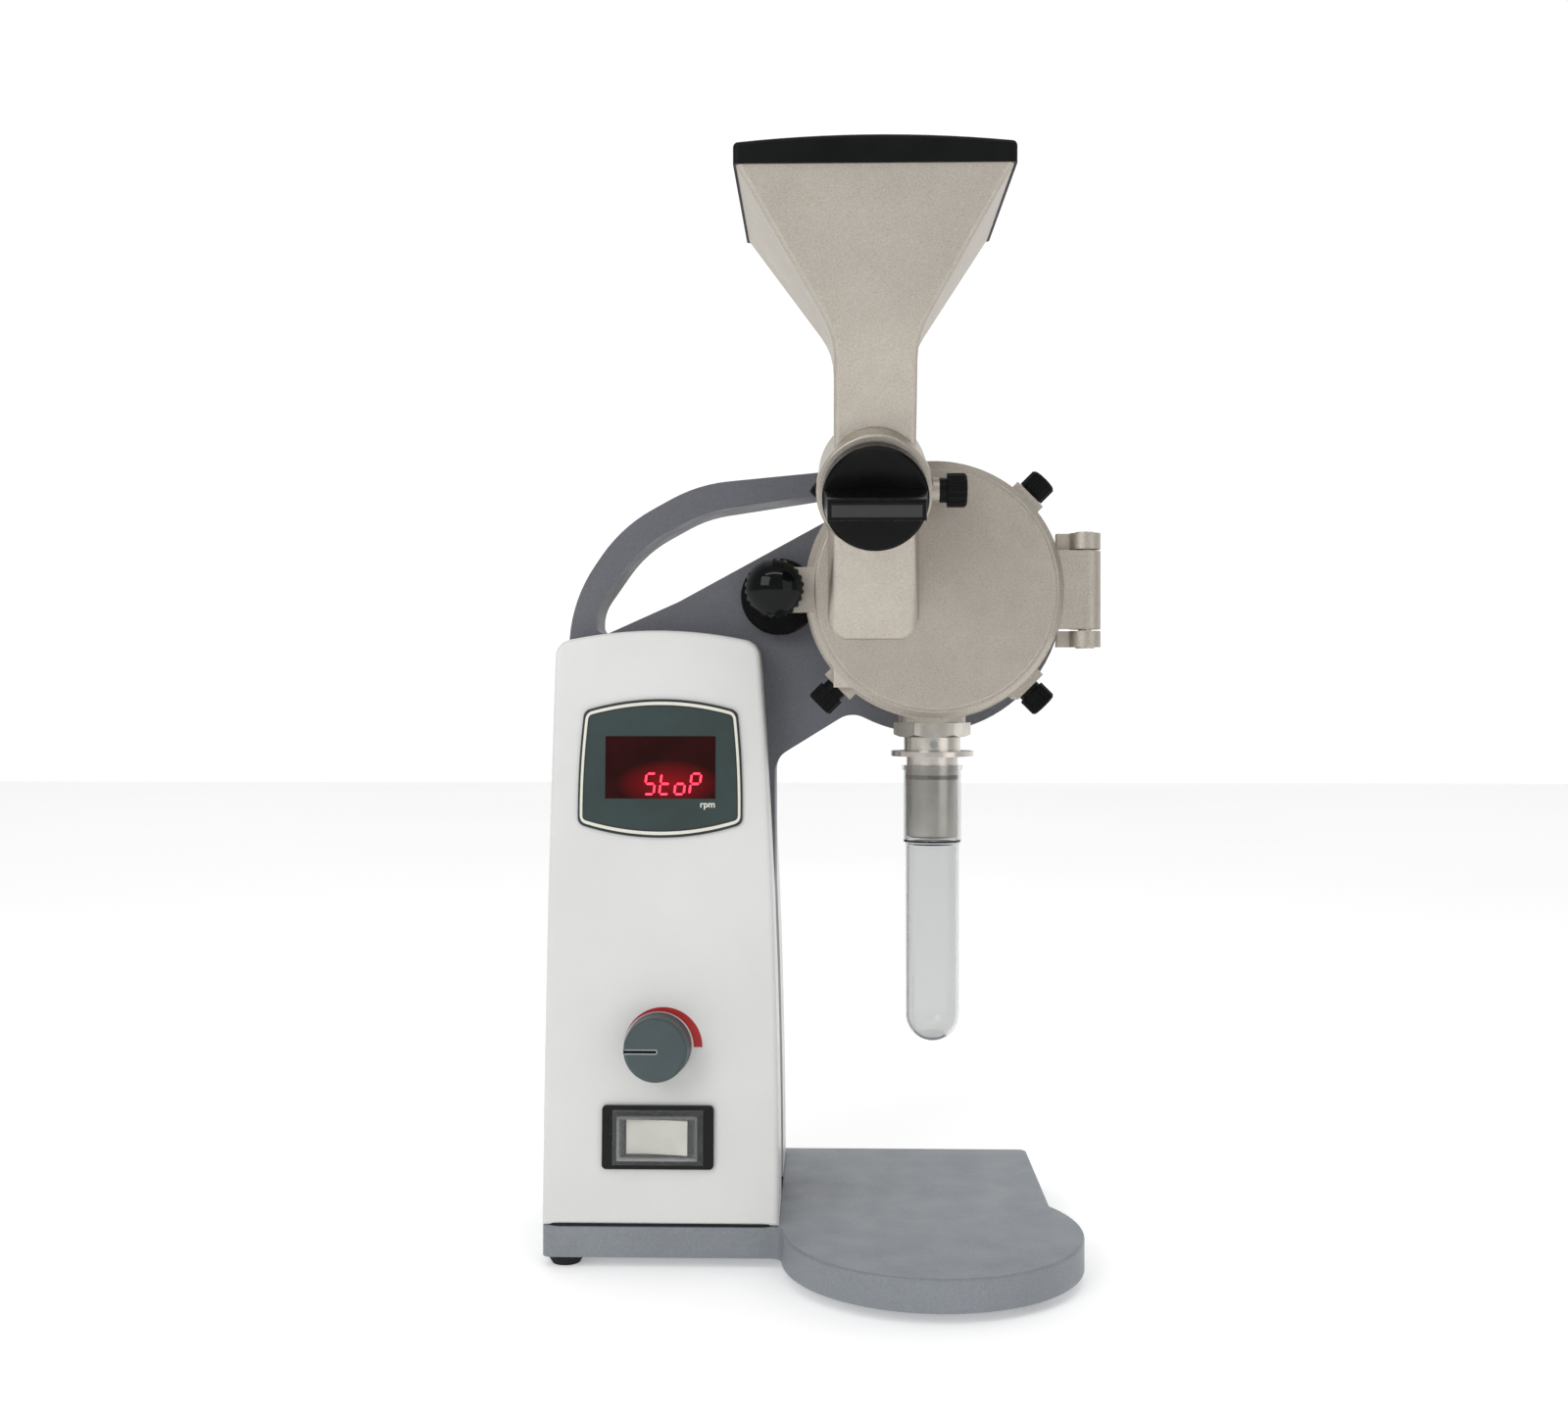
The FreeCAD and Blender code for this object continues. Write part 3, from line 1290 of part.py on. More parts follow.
def cover():
    # Hinged front of the chamber, cast in one with its chute, valve boss, ear and middle knuckle.
    body = newBody("cover")
    disc = newSketch(body, "XZ_Plane", bowlFront)
    ring(disc, d.axisX, d.axisHeight, d.coverRadius)
    pad(body, disc, d.coverThickness)
    front = -coverFront.value
    chamfer(body, edgesWhere(body, lambda e: e.BoundBox.YMax < front + 1e-4), d.coverBevel)
    half = d.chuteWidth / 2
    bossTop = d.bossFaceHeight + d.bossRadius
    saddle = d.bossFaceHeight + d.saddleRise
    side = newSketch(body, "YZ_Plane", d.chuteX)
    outline(side, [
        (-bowlFront, d.chuteFootHeight - d.coverThickness / chuteSlope),
        (-bowlFront, saddle),
        (chuteFront(saddle), saddle),
    ])
    pad(body, side, d.chuteWidth, middle=True)
    fillet(body, edgesWhere(body, isChuteEdge), d.chuteEdgeRadius)
    boss = newSketch(body, "XZ_Plane")
    placeBossSketch(boss)
    ring(boss, 0, 0, d.bossRadius)
    pad(body, boss, d.bossFaceY - bowlFront + d.bossRadius, reverse=True)
    stub = newSketch(body, "YZ_Plane", d.chuteX)
    stubY, stubZ = bossScrewPlace()
    ring(stub, stubY, stubZ, d.thumbCollarRadius)
    pad(body, stub, d.bossRadius + d.bossStubReach)
    ear = newSketch(body, "XZ_Plane", bowlFront)
    rectangle(ear, lockX, d.axisHeight - d.earHalfHeight, d.axisX - d.coverRadius + d.overrun,
              d.axisHeight + d.earHalfHeight)
    pad(body, ear, d.coverThickness)
    nose = newSketch(body, "XZ_Plane", bowlFront)
    ring(nose, lockX, d.axisHeight, d.earHalfHeight)
    pad(body, nose, d.coverThickness)
    knuckle = newSketch(body, "XY_Plane", d.axisHeight - d.midKnuckle / 2)
    ring(knuckle, hingeX, hingeY, d.barrelRadius)
    pad(body, knuckle, d.midKnuckle)
    web = newSketch(body, "XY_Plane", d.axisHeight - d.midKnuckle / 2)
    rectangle(web, d.axisX + d.coverRadius - d.overrun, hingeY - d.barrelRadius, hingeX, -bowlFront)
    pad(body, web, d.midKnuckle)
    trim = newSketch(body, "XY_Plane", d.axisHeight - d.coverRadius - d.overrun)
    rectangle(trim, lockX - d.bossRadius, -bowlFront, d.axisX + d.coverRadius - d.overrun / 2, d.overrun * 2)
    pocket(body, trim, d.coverRadius * 4, reverse=True)
    pinHole = newSketch(body, "XY_Plane", d.axisHeight)
    ring(pinHole, hingeX, hingeY, d.hingePinRadius + d.runningGap)
    pocket(body, pinHole, d.midKnuckle * 2, middle=True)
    lockHole = newSketch(body, "XZ_Plane", bowlFront)
    ring(lockHole, lockX, d.axisHeight, d.spindleRadius + d.runningGap)
    pocket(body, lockHole, d.coverThickness * 3, middle=True)
    bore = newSketch(body, "XZ_Plane")
    placeBossSketch(bore)
    ring(bore, 0, 0, d.plugRadius + d.runningGap)
    pocket(body, bore, d.plugDepth + d.smallGap)
    passage = newSketch(body, "YZ_Plane", d.chuteX)
    low = d.chuteFootHeight + d.smallGap * 5
    inner = d.chuteWall / cosine(d.chuteLean)
    back = -bowlFront - d.chuteWall
    top = bossTop + d.overrun
    outline(passage, [
        (chuteFront(low) + inner, low), (back, low), (back, bossTop - d.chuteWidth),
        (chuteFront(top) + inner * 4, top), (chuteFront(top) + inner, top),
    ])
    pocket(body, passage, d.passageWidth, middle=True)
    window = newSketch(body, "XZ_Plane", bowlFront - d.coverThickness / 4)
    rectangle(window, d.chuteX - d.passageWidth / 2, low, d.chuteX + d.passageWidth / 2, low + d.chuteWidth)
    pocket(body, window, d.chuteWall + d.coverThickness / 4, reverse=True)
    screw = newSketch(body, "YZ_Plane", d.chuteX + d.plugRadius - d.chuteWall)
    ring(screw, stubY, stubZ, d.thumbShankRadius + d.runningGap)
    pocket(body, screw, d.overrun * 2, reverse=True)
    groove = newSketch(body, "XZ_Plane", bowlFront)
    ring(groove, d.axisX, d.axisHeight, d.gasketRadius)
    ring(groove, d.axisX, d.axisHeight, d.gasketRadius - d.gasketWidth)
    pocket(body, groove, d.gasketDepth, reverse=True)
    return body


def isChuteEdge(edge):
    # The two long edges down the leaning front of the chute.
    box = edge.BoundBox
    return box.XLength < 1e-4 and box.YLength > d.overrun.value and box.ZLength > d.chuteWidth.value


def placeBossSketch(sketch):
    # Sets a sketch square to the valve axis, with its middle on the face of the boss.
    sketch.AttachmentOffset = FreeCAD.Placement(
        FreeCAD.Vector(d.chuteX.value, d.bossFaceHeight.value, d.bossFaceY.value),
        FreeCAD.Rotation(FreeCAD.Vector(1, 0, 0), d.chuteLean.value))
    for name, size in (("x", d.chuteX), ("y", d.bossFaceHeight), ("z", d.bossFaceY)):
        bind(sketch, f"AttachmentOffset.Base.{name}", size)


def bossScrewPlace():
    # Depth and height of the clamp screw on the right of the boss.
    inset = d.bossScrewInset
    return inset * cosine(d.chuteLean) - d.bossFaceY, d.bossFaceHeight + inset * sine(d.chuteLean)


def coverGasket():
    # Flat ring pressed into the groove in the back of the cover.
    body = newBody("cover_gasket", onAxis(bowlFront), "front")
    profile = newSketch(body, "XZ_Plane")
    inner = d.gasketRadius - d.gasketWidth + d.runningGap
    outer = d.gasketRadius - d.runningGap
    outline(profile, [(inner, 0), (outer, 0), (outer, d.gasketDepth), (inner, d.gasketDepth)])
    spin(body, "Revolution", profile)
    return body


def interlockSocket():
    # Round block on the upright with the cone that takes the tip of the lock spindle.
    reach = d.socketDepth
    tip = d.spindleTipRadius + d.smallGap
    deep = d.runningGap * 20
    edge = d.washerThickness / 2
    return turned("interlock_socket", [
        (0, 0), (d.socketRadius, 0), (d.socketRadius, reach - edge), (d.socketRadius - edge, reach),
        (d.socketMouthRadius, reach), (tip, deep), (0, deep),
    ], (lockX, -d.plateFront, d.axisHeight), "front")


def lockKnob():
    # Scalloped domed knob with the long spindle that reaches the socket.
    low = -(coverFront + d.washerThickness - d.plateFront)
    nose = low + d.runningGap * 20 + d.smallGap
    cone = nose + d.spindleNose
    neck = d.lockNeckHeight
    rim = neck + d.lockRimHeight
    high = d.lockDomeHeight
    dome = (d.lockKnobRadius * d.lockKnobRadius + high * high) / (high * 2)
    place = (lockX, -coverFront - d.washerThickness, d.axisHeight)
    body = newBody("lock_knob", place, "front")
    profile = newSketch(body, "XZ_Plane")
    outline(profile, [
        (0, nose), (d.spindleTipRadius, nose), (d.spindleRadius, cone), (d.spindleRadius, 0), (d.lockNeckRadius, 0),
        (d.lockNeckRadius, neck / 2), (d.lockKnobRadius, neck), (d.lockKnobRadius, rim, dome), (0, rim + high),
    ])
    spin(body, "Revolution", profile)
    notch = newSketch(body, "XY_Plane", neck / 2)
    ring(notch, d.lockKnobRadius + d.scallopRadius / 3, 0, d.scallopRadius)
    repeat(body, pocket(body, notch, d.lockRimHeight * 2, reverse=True), d.scallopCount)
    return body


def lockWasher():
    # Washer that travels with the spindle without turning, and slides on the ear.
    inner = d.spindleRadius + d.runningGap
    return tube("lock_washer", inner, d.washerRadius, 0, d.washerThickness, (lockX, -coverFront, d.axisHeight), "front")


def spindleClip():
    # Keeps the spindle in the ear when it is unscrewed.
    level = bowlFront - d.lockTravel - d.clipThickness - d.smallGap
    place = (lockX, -level, d.axisHeight)
    return tube("spindle_clip", d.spindleRadius, d.clipRadius, 0, d.clipThickness, place, "front")


def feedPlug():
    # Rotary valve in the boss, with a slot that lines up with the chute a quarter turn on.
    body = newBody("feed_plug", bossPlace(), "front", d.chuteLean)
    face = newSketch(body, "XY_Plane")
    ring(face, 0, 0, d.plugRadius)
    pad(body, face, d.plugDepth, reverse=True)
    stem = newSketch(body, "XY_Plane")
    ring(stem, 0, 0, d.plugRadius - d.chuteWall)
    pad(body, stem, d.smallGap)
    slot = newSketch(body, "YZ_Plane")
    edge = d.chuteWall
    rectangle(slot, -d.passageWidth / 2, -(d.plugDepth - d.plugBackWall), d.passageWidth / 2, -edge * 2)
    pocket(body, slot, d.plugRadius * 3, middle=True)
    return body


def feedKnob():
    # Dished disc with the grip bar across it.
    body = newBody("feed_knob", bossPlace(), "front", d.chuteLean)
    profile = newSketch(body, "XZ_Plane")
    top = d.feedDiscHeight
    edge = d.feedDishDepth
    outline(profile, [
        (0, d.smallGap), (d.feedDiscRadius - edge, d.smallGap), (d.feedDiscRadius, d.smallGap + edge),
        (d.feedDiscRadius, top - edge), (d.feedDiscRadius - edge, top), (d.feedDiscRadius - edge * 2, top),
        (0, top - edge),
    ])
    spin(body, "Revolution", profile)
    bar = newSketch(body, "XZ_Plane")
    half = d.gripLength / 2
    low = top - edge * 2
    high = top + d.gripProud
    outline(bar, [(-half, low), (half, low), (half - d.gripTaper, high), (d.gripTaper - half, high)])
    pad(body, bar, d.gripThickness, middle=True)
    level = high.value
    fillet(body, edgesWhere(body, lambda e: e.BoundBox.ZMin > level - 1e-4), d.feedDishDepth)
    return body


def bossScrew():
    stubY, stubZ = bossScrewPlace()
    reach = d.bossRadius + d.bossStubReach
    place = (d.chuteX + reach + d.smallGap, stubY, stubZ)
    thumbscrew("feed_thumbscrew", place, reach - d.plugRadius, d.bossScrewHeadRadius)


def rectangleAt(body, height, middleX, wide, front, back):
    sketch = newSketch(body, "XY_Plane", height)
    rectangle(sketch, middleX - wide / 2, front, middleX + wide / 2, back)
    return sketch


def roundedAt(body, height, middleX, wide, front, back, radius):
    # Level rectangle with rounded corners.
    sketch = newSketch(body, "XY_Plane", height)
    left = middleX - wide / 2
    right = middleX + wide / 2
    outline(sketch, [
        (left + radius, front), (right - radius, front, radius), (right, front + radius),
        (right, back - radius, radius), (right - radius, back), (left + radius, back, radius),
        (left, back - radius), (left, front + radius, radius),
    ])
    return sketch


def loft(body, kind, sections):
    item = body.newObject(f"PartDesign::{kind}", f"{body.Label}_{kind}")
    item.Profile = sections[0]
    item.Sections = sections[1:]
    item.Ruled = True
    doc.recompute()
    return item


def blended(first, corner, last, share):
    # A section on the curve that leaves the first towards the corner and ends at the last.
    near = (1 - share) * (1 - share)
    across = 2 * share * (1 - share)
    return [p * near + q * across + r * (share * share) for p, q, r in zip(first, corner, last)]


def hopper():
    # Cast funnel with its leaning neck, which stands on the valve boss.
    body = newBody("hopper")
    deep = d.chuteDepth / cosine(d.chuteLean)
    low = d.bossFaceHeight + d.saddleRise
    neckTop = creaseHeight - d.creaseBlend
    foot = [low, d.chuteX, d.chuteWidth, chuteFront(low), deep]
    start = [neckTop, d.chuteX, d.chuteWidth, chuteFront(neckTop), deep]
    crease = [creaseHeight, d.chuteX, d.chuteWidth, chuteFront(creaseHeight), deep]
    mouth = [mouthHeight, mouthX, d.mouthWidth, -d.mouthFront, d.mouthDepth]
    share = d.creaseBlend / d.funnelRise
    end = [p + (q - p) * share for p, q in zip(crease, mouth)]
    outer = []
    for level, x, wide, front, depth in [foot, start] + [
            blended(start, crease, end, share) for share in (0.25, 0.5, 0.75)] + [end, mouth]:
        outer.append(roundedAt(body, level, x, wide, front, front + depth, d.chuteEdgeRadius))
    loft(body, "AdditiveLoft", outer)
    wall = d.hopperWall
    neckWall = d.chuteWall / cosine(d.chuteLean)
    throat = d.bossFaceHeight + d.bossRadius + d.overrun
    slit = neckWall * 4
    insides = [
        (low, d.chuteX, d.passageWidth, chuteFront(low) + neckWall, slit),
        (throat, d.chuteX, d.passageWidth, chuteFront(throat) + neckWall, slit),
        (creaseHeight, d.chuteX, d.chuteWidth - wall * 2, chuteFront(creaseHeight) + neckWall, deep - neckWall - wall),
        (mouthHeight, mouthX, d.mouthWidth - wall * 2, wall - d.mouthFront, d.mouthDepth - wall * 2),
    ]
    for first, last in zip(insides, insides[1:]):
        sections = []
        for level, x, wide, front, depth in (first, last):
            sections.append(rectangleAt(body, level, x, wide, front, front + depth))
        loft(body, "SubtractiveLoft", sections)
    saddle = newSketch(body, "XZ_Plane")
    placeBossSketch(saddle)
    ring(saddle, 0, 0, d.bossRadius + d.runningGap)
    pocket(body, saddle, d.bossFaceY * 2, middle=True)
    return body


def hopperLid():
    # Lid with an arched top, a rim that overhangs the mouth and a skirt that drops inside.
    body = newBody("hopper_lid")
    half = d.mouthWidth / 2 + d.lidOverhang
    deep = d.mouthDepth + d.lidOverhang * 2
    middle = d.mouthDepth / 2 - d.mouthFront
    face = newSketch(body, "XZ_Plane", -(middle + deep / 2))
    bow = (half * half + d.lidCrown * d.lidCrown) / (d.lidCrown * 2)
    rim = mouthHeight + d.lidRimHeight
    outline(face, [
        (mouthX - half, mouthHeight), (mouthX + half, mouthHeight),
        (mouthX + half, rim, bow), (mouthX - half, rim),
    ])
    pad(body, face, deep)
    upright = edgesWhere(body, lambda e: e.BoundBox.XLength < 1e-4 and e.BoundBox.YLength < 1e-4)
    fillet(body, upright, d.lidEdgeRadius)
    level = (mouthHeight + d.lidRimHeight / 2).value
    fillet(body, edgesWhere(body, lambda e: e.BoundBox.ZMin > level), d.lidEdgeRadius)
    inset = d.hopperWall + d.lidSkirtGap + d.lidSkirtDepth
    skirt = lidSection(body, mouthHeight, middle, inset)
    pad(body, skirt, d.lidSkirtDepth, reverse=True)
    inside = lidSection(body, mouthHeight - d.lidSkirtDepth, middle, inset + d.lidSkirtWall)
    pocket(body, inside, d.lidSkirtDepth, reverse=True)
    return body


def lidSection(body, height, middle, inset):
    # A rectangle inside the mouth of the hopper, all round by the inset.
    half = d.mouthDepth / 2 - inset
    return rectangleAt(body, height, mouthX, d.mouthWidth - inset * 2, middle - half, middle + half)


def outletPlace(level):
    return (d.axisX, outletY, level)


def outletNut():
    # Hexagon nut under the bowl, bevelled below.
    body = newBody("outlet_nut", outletPlace(d.outletLevel - d.nutHeight), "up")
    reach = d.nutAcrossFlats / 2 / cosine(Size("30", 30))
    face = newSketch(body, "XY_Plane")
    hexagon(face, reach)
    pad(body, face, d.nutHeight)
    bevel = newSketch(body, "XZ_Plane")
    over = reach + d.overrun
    outline(bevel, [(reach - d.nutBevel, 0), (over, 0), (over, (over - reach + d.nutBevel) / 2)])
    spin(body, "Groove", bevel)
    hole = newSketch(body, "XY_Plane")
    ring(hole, 0, 0, d.outletThreadRadius + d.runningGap)
    pocket(body, hole, d.nutHeight, reverse=True)
    return body


def outletSpigot():
    # Threaded outlet with a collar, a flange and the spigot that goes into the test tube.
    collarTop = d.outletLevel - d.nutHeight
    collarLow = collarTop - d.outletNeckHeight
    flangeLow = collarLow - d.outletFlangeHeight
    tip = flangeLow - d.tubeSpigotLength
    top = d.axisHeight - d.bowlInnerRadius
    ringLevel = flangeLow - d.tubeGap - d.tubeRimHeight * 2
    groove = d.ringRadius - d.ringWidth
    edge = d.setScrewRadius / 2
    body = turned("outlet_spigot", [
        (d.outletBoreRadius, tip), (d.tubeSpigotRadius - edge, tip), (d.tubeSpigotRadius, tip + edge),
        (d.tubeSpigotRadius, ringLevel - d.ringWidth), (groove, ringLevel - d.ringWidth), (groove, ringLevel),
        (d.tubeSpigotRadius, ringLevel), (d.tubeSpigotRadius, flangeLow), (d.outletFlangeRadius, flangeLow),
        (d.outletFlangeRadius, collarLow), (d.outletNeckRadius, collarLow), (d.outletNeckRadius, collarTop),
        (d.outletThreadRadius, collarTop), (d.outletThreadRadius, top), (d.outletBoreRadius, top),
    ], outletPlace(Size("0", 0)))
    seat = newSketch(body, "XZ_Plane", d.outletNeckRadius - d.smallGap)
    ring(seat, 0, setScrewLevel(), d.setScrewRadius + d.runningGap)
    pocket(body, seat, d.overrun, reverse=True)
    return body


def setScrewLevel():
    return d.outletLevel - d.nutHeight - d.outletNeckHeight / 2


def tubeRing():
    # Rubber ring on the spigot that holds the test tube.
    flangeLow = d.outletLevel - d.nutHeight - d.outletNeckHeight - d.outletFlangeHeight
    ringLevel = flangeLow - d.tubeGap - d.tubeRimHeight * 2
    inner = d.ringRadius - d.ringWidth
    return tube("tube_ring", inner, d.ringRadius, ringLevel - d.ringWidth, ringLevel, outletPlace(Size("0", 0)))


def setScrew():
    # Small screw in the collar, seen from the front.
    seat = outletY - d.outletNeckRadius + d.smallGap
    body = newBody("outlet_set_screw", (d.axisX, seat, setScrewLevel()), "front")
    face = newSketch(body, "XY_Plane")
    ring(face, 0, 0, d.setScrewRadius)
    pad(body, face, d.smallGap * 3)
    slot = newSketch(body, "XY_Plane", d.smallGap * 3)
    rectangle(slot, -d.setScrewRadius * 2, -d.smallGap, d.setScrewRadius * 2, d.smallGap)
    pocket(body, slot, d.smallGap)
    return body


def testTube():
    # Clear tube with a wider socket and a rounded bottom.
    flangeLow = d.outletLevel - d.nutHeight - d.outletNeckHeight - d.outletFlangeHeight
    top = flangeLow - d.tubeGap
    rim = top - d.tubeRimHeight
    step = top - d.tubeSocketLength
    low = top - d.tubeLength
    ball = d.tubeRadius
    bore = d.tubeRadius - d.tubeWall
    socketBore = d.tubeSocketRadius - d.tubeWall
    return turned("test_tube", [
        (0, low, ball), (ball, low + ball), (ball, step - d.tubeWall), (d.tubeSocketRadius, step),
        (d.tubeSocketRadius, rim), (d.tubeRimRadius, rim), (d.tubeRimRadius, top), (socketBore, top),
        (socketBore, step + d.tubeWall), (bore, step), (bore, low + ball, -bore), (0, low + d.tubeWall),
    ], outletPlace(Size("0", 0)))


def motorCase():
    # Round housing behind the upright, with a front wall that the screws of the head reach.
    end = d.motorLength - d.capLength
    inner = d.motorRadius - d.motorWall
    bore = d.spigotRadius
    place = (d.axisX, plateBack, d.axisHeight)
    return turned("motor_case", [
        (bore, 0), (d.motorRadius, 0), (d.motorRadius, end), (inner, end), (inner, d.motorFrontWall),
        (bore, d.motorFrontWall),
    ], place, "back")


def stator():
    low = d.motorFrontWall + d.statorBore / 3
    inner = d.motorRadius - d.motorWall
    return tube("stator", d.statorBore, inner, low, low + d.statorLength, (d.axisX, plateBack, d.axisHeight), "back")


def armature():
    low = d.motorFrontWall + d.statorBore / 3
    place = (d.axisX, plateBack, d.axisHeight)
    return tube("armature", d.shaftRadius, d.armatureRadius, low, low + d.armatureLength, place, "back")


def motorFan():
    # Eight straight blades on a hub, behind the armature.
    low = d.motorFrontWall + d.statorBore / 3 + d.armatureLength + d.smallGap * 3
    body = tube("motor_fan", d.shaftRadius, d.fanHubRadius, low, low + d.fanHeight,
                (d.axisX, plateBack, d.axisHeight), "back")
    blade = newSketch(body, "XY_Plane", low)
    half = d.fanBladeWidth / 2
    rectangle(blade, d.fanHubRadius - half, -half, d.fanRadius, half)
    repeat(body, pad(body, blade, d.fanHeight), d.fanBladeCount)
    return body


def motorCap():
    # End cap with a bearing seat and a ring of vents.
    start = d.motorLength - d.capLength
    place = (d.axisX, plateBack, d.axisHeight)
    inner = d.motorRadius - d.motorWall
    seat = d.bearingRadius
    body = newBody("motor_cap", place, "back")
    profile = newSketch(body, "XZ_Plane")
    end = d.motorLength + d.capLength
    outer = seat + d.motorWall
    rim = end - d.motorWall
    outline(profile, [
        (seat, end - d.capLength - d.bearingWidth), (outer, end - d.capLength - d.bearingWidth), (outer, rim),
        (inner, rim), (inner, start), (d.motorRadius, start), (d.motorRadius, rim), (inner, end),
        (0, end), (0, rim), (seat, rim),
    ])
    spin(body, "Revolution", profile)
    vent = newSketch(body, "XY_Plane", end)
    half = d.ventWidth / 2
    rectangle(vent, d.ventInnerRadius + half, -half, d.ventOuterRadius, half)
    repeat(body, pocket(body, vent, d.motorWall * 2), d.ventCount)
    return body


def feet():
    # Three feet under the corners and one under the round front corner.
    left = d.footInset - d.baseHalfWidth
    right = baseRight - d.footInset
    front = d.footInset - d.baseFront
    back = d.baseDepth - d.baseFront - d.footInset
    reach = d.discFootReach * cosine(quarter)
    foot(1, left, front)
    foot(2, left, back)
    foot(3, right, back)
    foot(4, d.axisX + reach, -d.baseFront - reach)


basePlate()
frameScrews()
feet()
frameUpright()
frontHousing()
rearHousing()
displayBezel()
displayWindow()
displayBoard()
speedPotentiometer()
speedKnob()
switchBody()
rocker()
splashCap()
controlBoard()
mainsInlet()
bearingFlange()
bearing("front_bearing", bowlBack - d.sealWidth - d.bearingWidth)
bearing("rear_bearing", -(plateBack + d.motorLength))
shaftSeal()
chamberBowl()
chamberScrews()
sieveRing()
rotorShaft()
grindingRotor()
rotorNut()
for number, side in enumerate((45, 135, 225, 315), 1):
    radialScrew(number, side)
hingePin()
cover()
coverGasket()
interlockSocket()
lockKnob()
lockWasher()
spindleClip()
feedPlug()
feedKnob()
bossScrew()
hopper()
hopperLid()
outletNut()
outletSpigot()
tubeRing()
setScrew()
testTube()
motorCase()
stator()
armature()
motorFan()
motorCap()

doc.recompute()
for item in doc.Objects:
    if "Invalid" in item.State or "Error" in item.State:
        raise RuntimeError(f"{item.Label} did not build: {item.State}")
bodies = [item for item in doc.Objects if item.TypeId == "PartDesign::Body"]
for body in bodies:
    if body.Shape.isNull() or not body.Shape.isValid() or not body.Shape.Solids:
        raise RuntimeError(f"{body.Label} is not a sound solid")

os.makedirs("parts", exist_ok=True)
for body in bodies:
    body.Shape.exportStep(f"parts/{body.Label}.step")
    print(body.Label, len(body.Shape.Solids), round(body.Shape.Volume))
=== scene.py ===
import math
import bmesh
import bpy
from mathutils import Matrix, Vector


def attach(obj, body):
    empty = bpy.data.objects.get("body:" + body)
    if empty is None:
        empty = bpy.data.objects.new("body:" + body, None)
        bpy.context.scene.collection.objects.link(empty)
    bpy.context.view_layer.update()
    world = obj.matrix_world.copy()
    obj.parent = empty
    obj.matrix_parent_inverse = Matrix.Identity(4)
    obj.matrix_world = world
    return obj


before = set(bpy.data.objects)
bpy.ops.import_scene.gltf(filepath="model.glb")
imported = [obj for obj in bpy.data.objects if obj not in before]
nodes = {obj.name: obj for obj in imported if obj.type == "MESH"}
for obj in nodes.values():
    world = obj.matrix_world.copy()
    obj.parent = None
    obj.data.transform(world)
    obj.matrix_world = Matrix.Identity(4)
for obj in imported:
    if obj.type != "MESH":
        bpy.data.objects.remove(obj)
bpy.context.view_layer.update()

# Analytical lab mill, dressed over its CAD solids. Everything is in metres in the CAD's own frame:
# +X to the right, +Y away from the camera, +Z up.
scene = bpy.context.scene
mm = 0.001
print("frame loaded with", len(nodes), "nodes")


# Materials

def colour(hexCode):
    # sRGB hex to the linear values that a shader takes
    channels = [int(hexCode[i:i + 2], 16) / 255 for i in (1, 3, 5)]
    return tuple(c / 12.92 if c <= 0.04045 else ((c + 0.055) / 1.055) ** 2.4 for c in channels) + (1.0,)


def perMm(size):
    # noise and wave scales are counts per metre, so a grain of so many millimetres
    return 1000 / size


def addNode(material, kind, settings=None, links=None):
    # a node with its settings, and with its inputs linked to the given outputs
    node = material.node_tree.nodes.new(kind)
    for name, value in (settings or {}).items():
        if name in node.inputs:
            node.inputs[name].default_value = value
        else:
            setattr(node, name, value)
    for name, source in (links or {}).items():
        material.node_tree.links.new(source, node.inputs[name])
    return node


def newMaterial(name, settings):
    # a material with its own shader, whose steady values sit on the shader's sockets
    material = bpy.data.materials.new(name)
    material.use_nodes = True
    shader = material.node_tree.nodes["Principled BSDF"]
    for socket, value in settings.items():
        shader.inputs[socket].default_value = value
    place = addNode(material, "ShaderNodeTexCoord").outputs["Object"]
    return material, shader, place


# where most of the values of the two noises lie: the one for colour and the one for gloss
noiseRange = {"colourLow": 0.36, "colourHigh": 0.64, "glossLow": 0.3, "glossHigh": 0.7}
# sockets of a colour Mix node, by number, because its names are used twice
mixSocket = {"dark": 6, "light": 7, "result": 2}
# the gloss wanders over patches this many grains wide
patchGrains = 14


def tint(material, shader, place, finish):
    # colour that drifts between two tones, as cast, sprayed and moulded surfaces do
    drift = addNode(material, "ShaderNodeTexNoise",
                    {"Scale": perMm(finish["driftMm"]), "Detail": 4.0, "Roughness": 0.6}, {"Vector": place})
    share = drift.outputs["Fac"]
    if "speckMm" in finish:
        # small dents and grains, each a little lighter or darker than the next
        specks = addNode(material, "ShaderNodeTexNoise",
                         {"Scale": perMm(finish["speckMm"]), "Detail": 2.0, "Roughness": 0.8}, {"Vector": place})
        share = addNode(material, "ShaderNodeMix", {"Factor": finish["speckShare"]},
                        {"A": share, "B": specks.outputs["Fac"]}).outputs["Result"]
    spread = addNode(material, "ShaderNodeMapRange",
                     {"From Min": noiseRange["colourLow"], "From Max": noiseRange["colourHigh"]}, {"Value": share})
    blend = addNode(material, "ShaderNodeMix", {"data_type": "RGBA"}, {"Factor": spread.outputs["Result"]})
    blend.inputs[mixSocket["dark"]].default_value = colour(finish["dark"])
    blend.inputs[mixSocket["light"]].default_value = colour(finish["light"])
    material.node_tree.links.new(blend.outputs[mixSocket["result"]], shader.inputs["Base Color"])


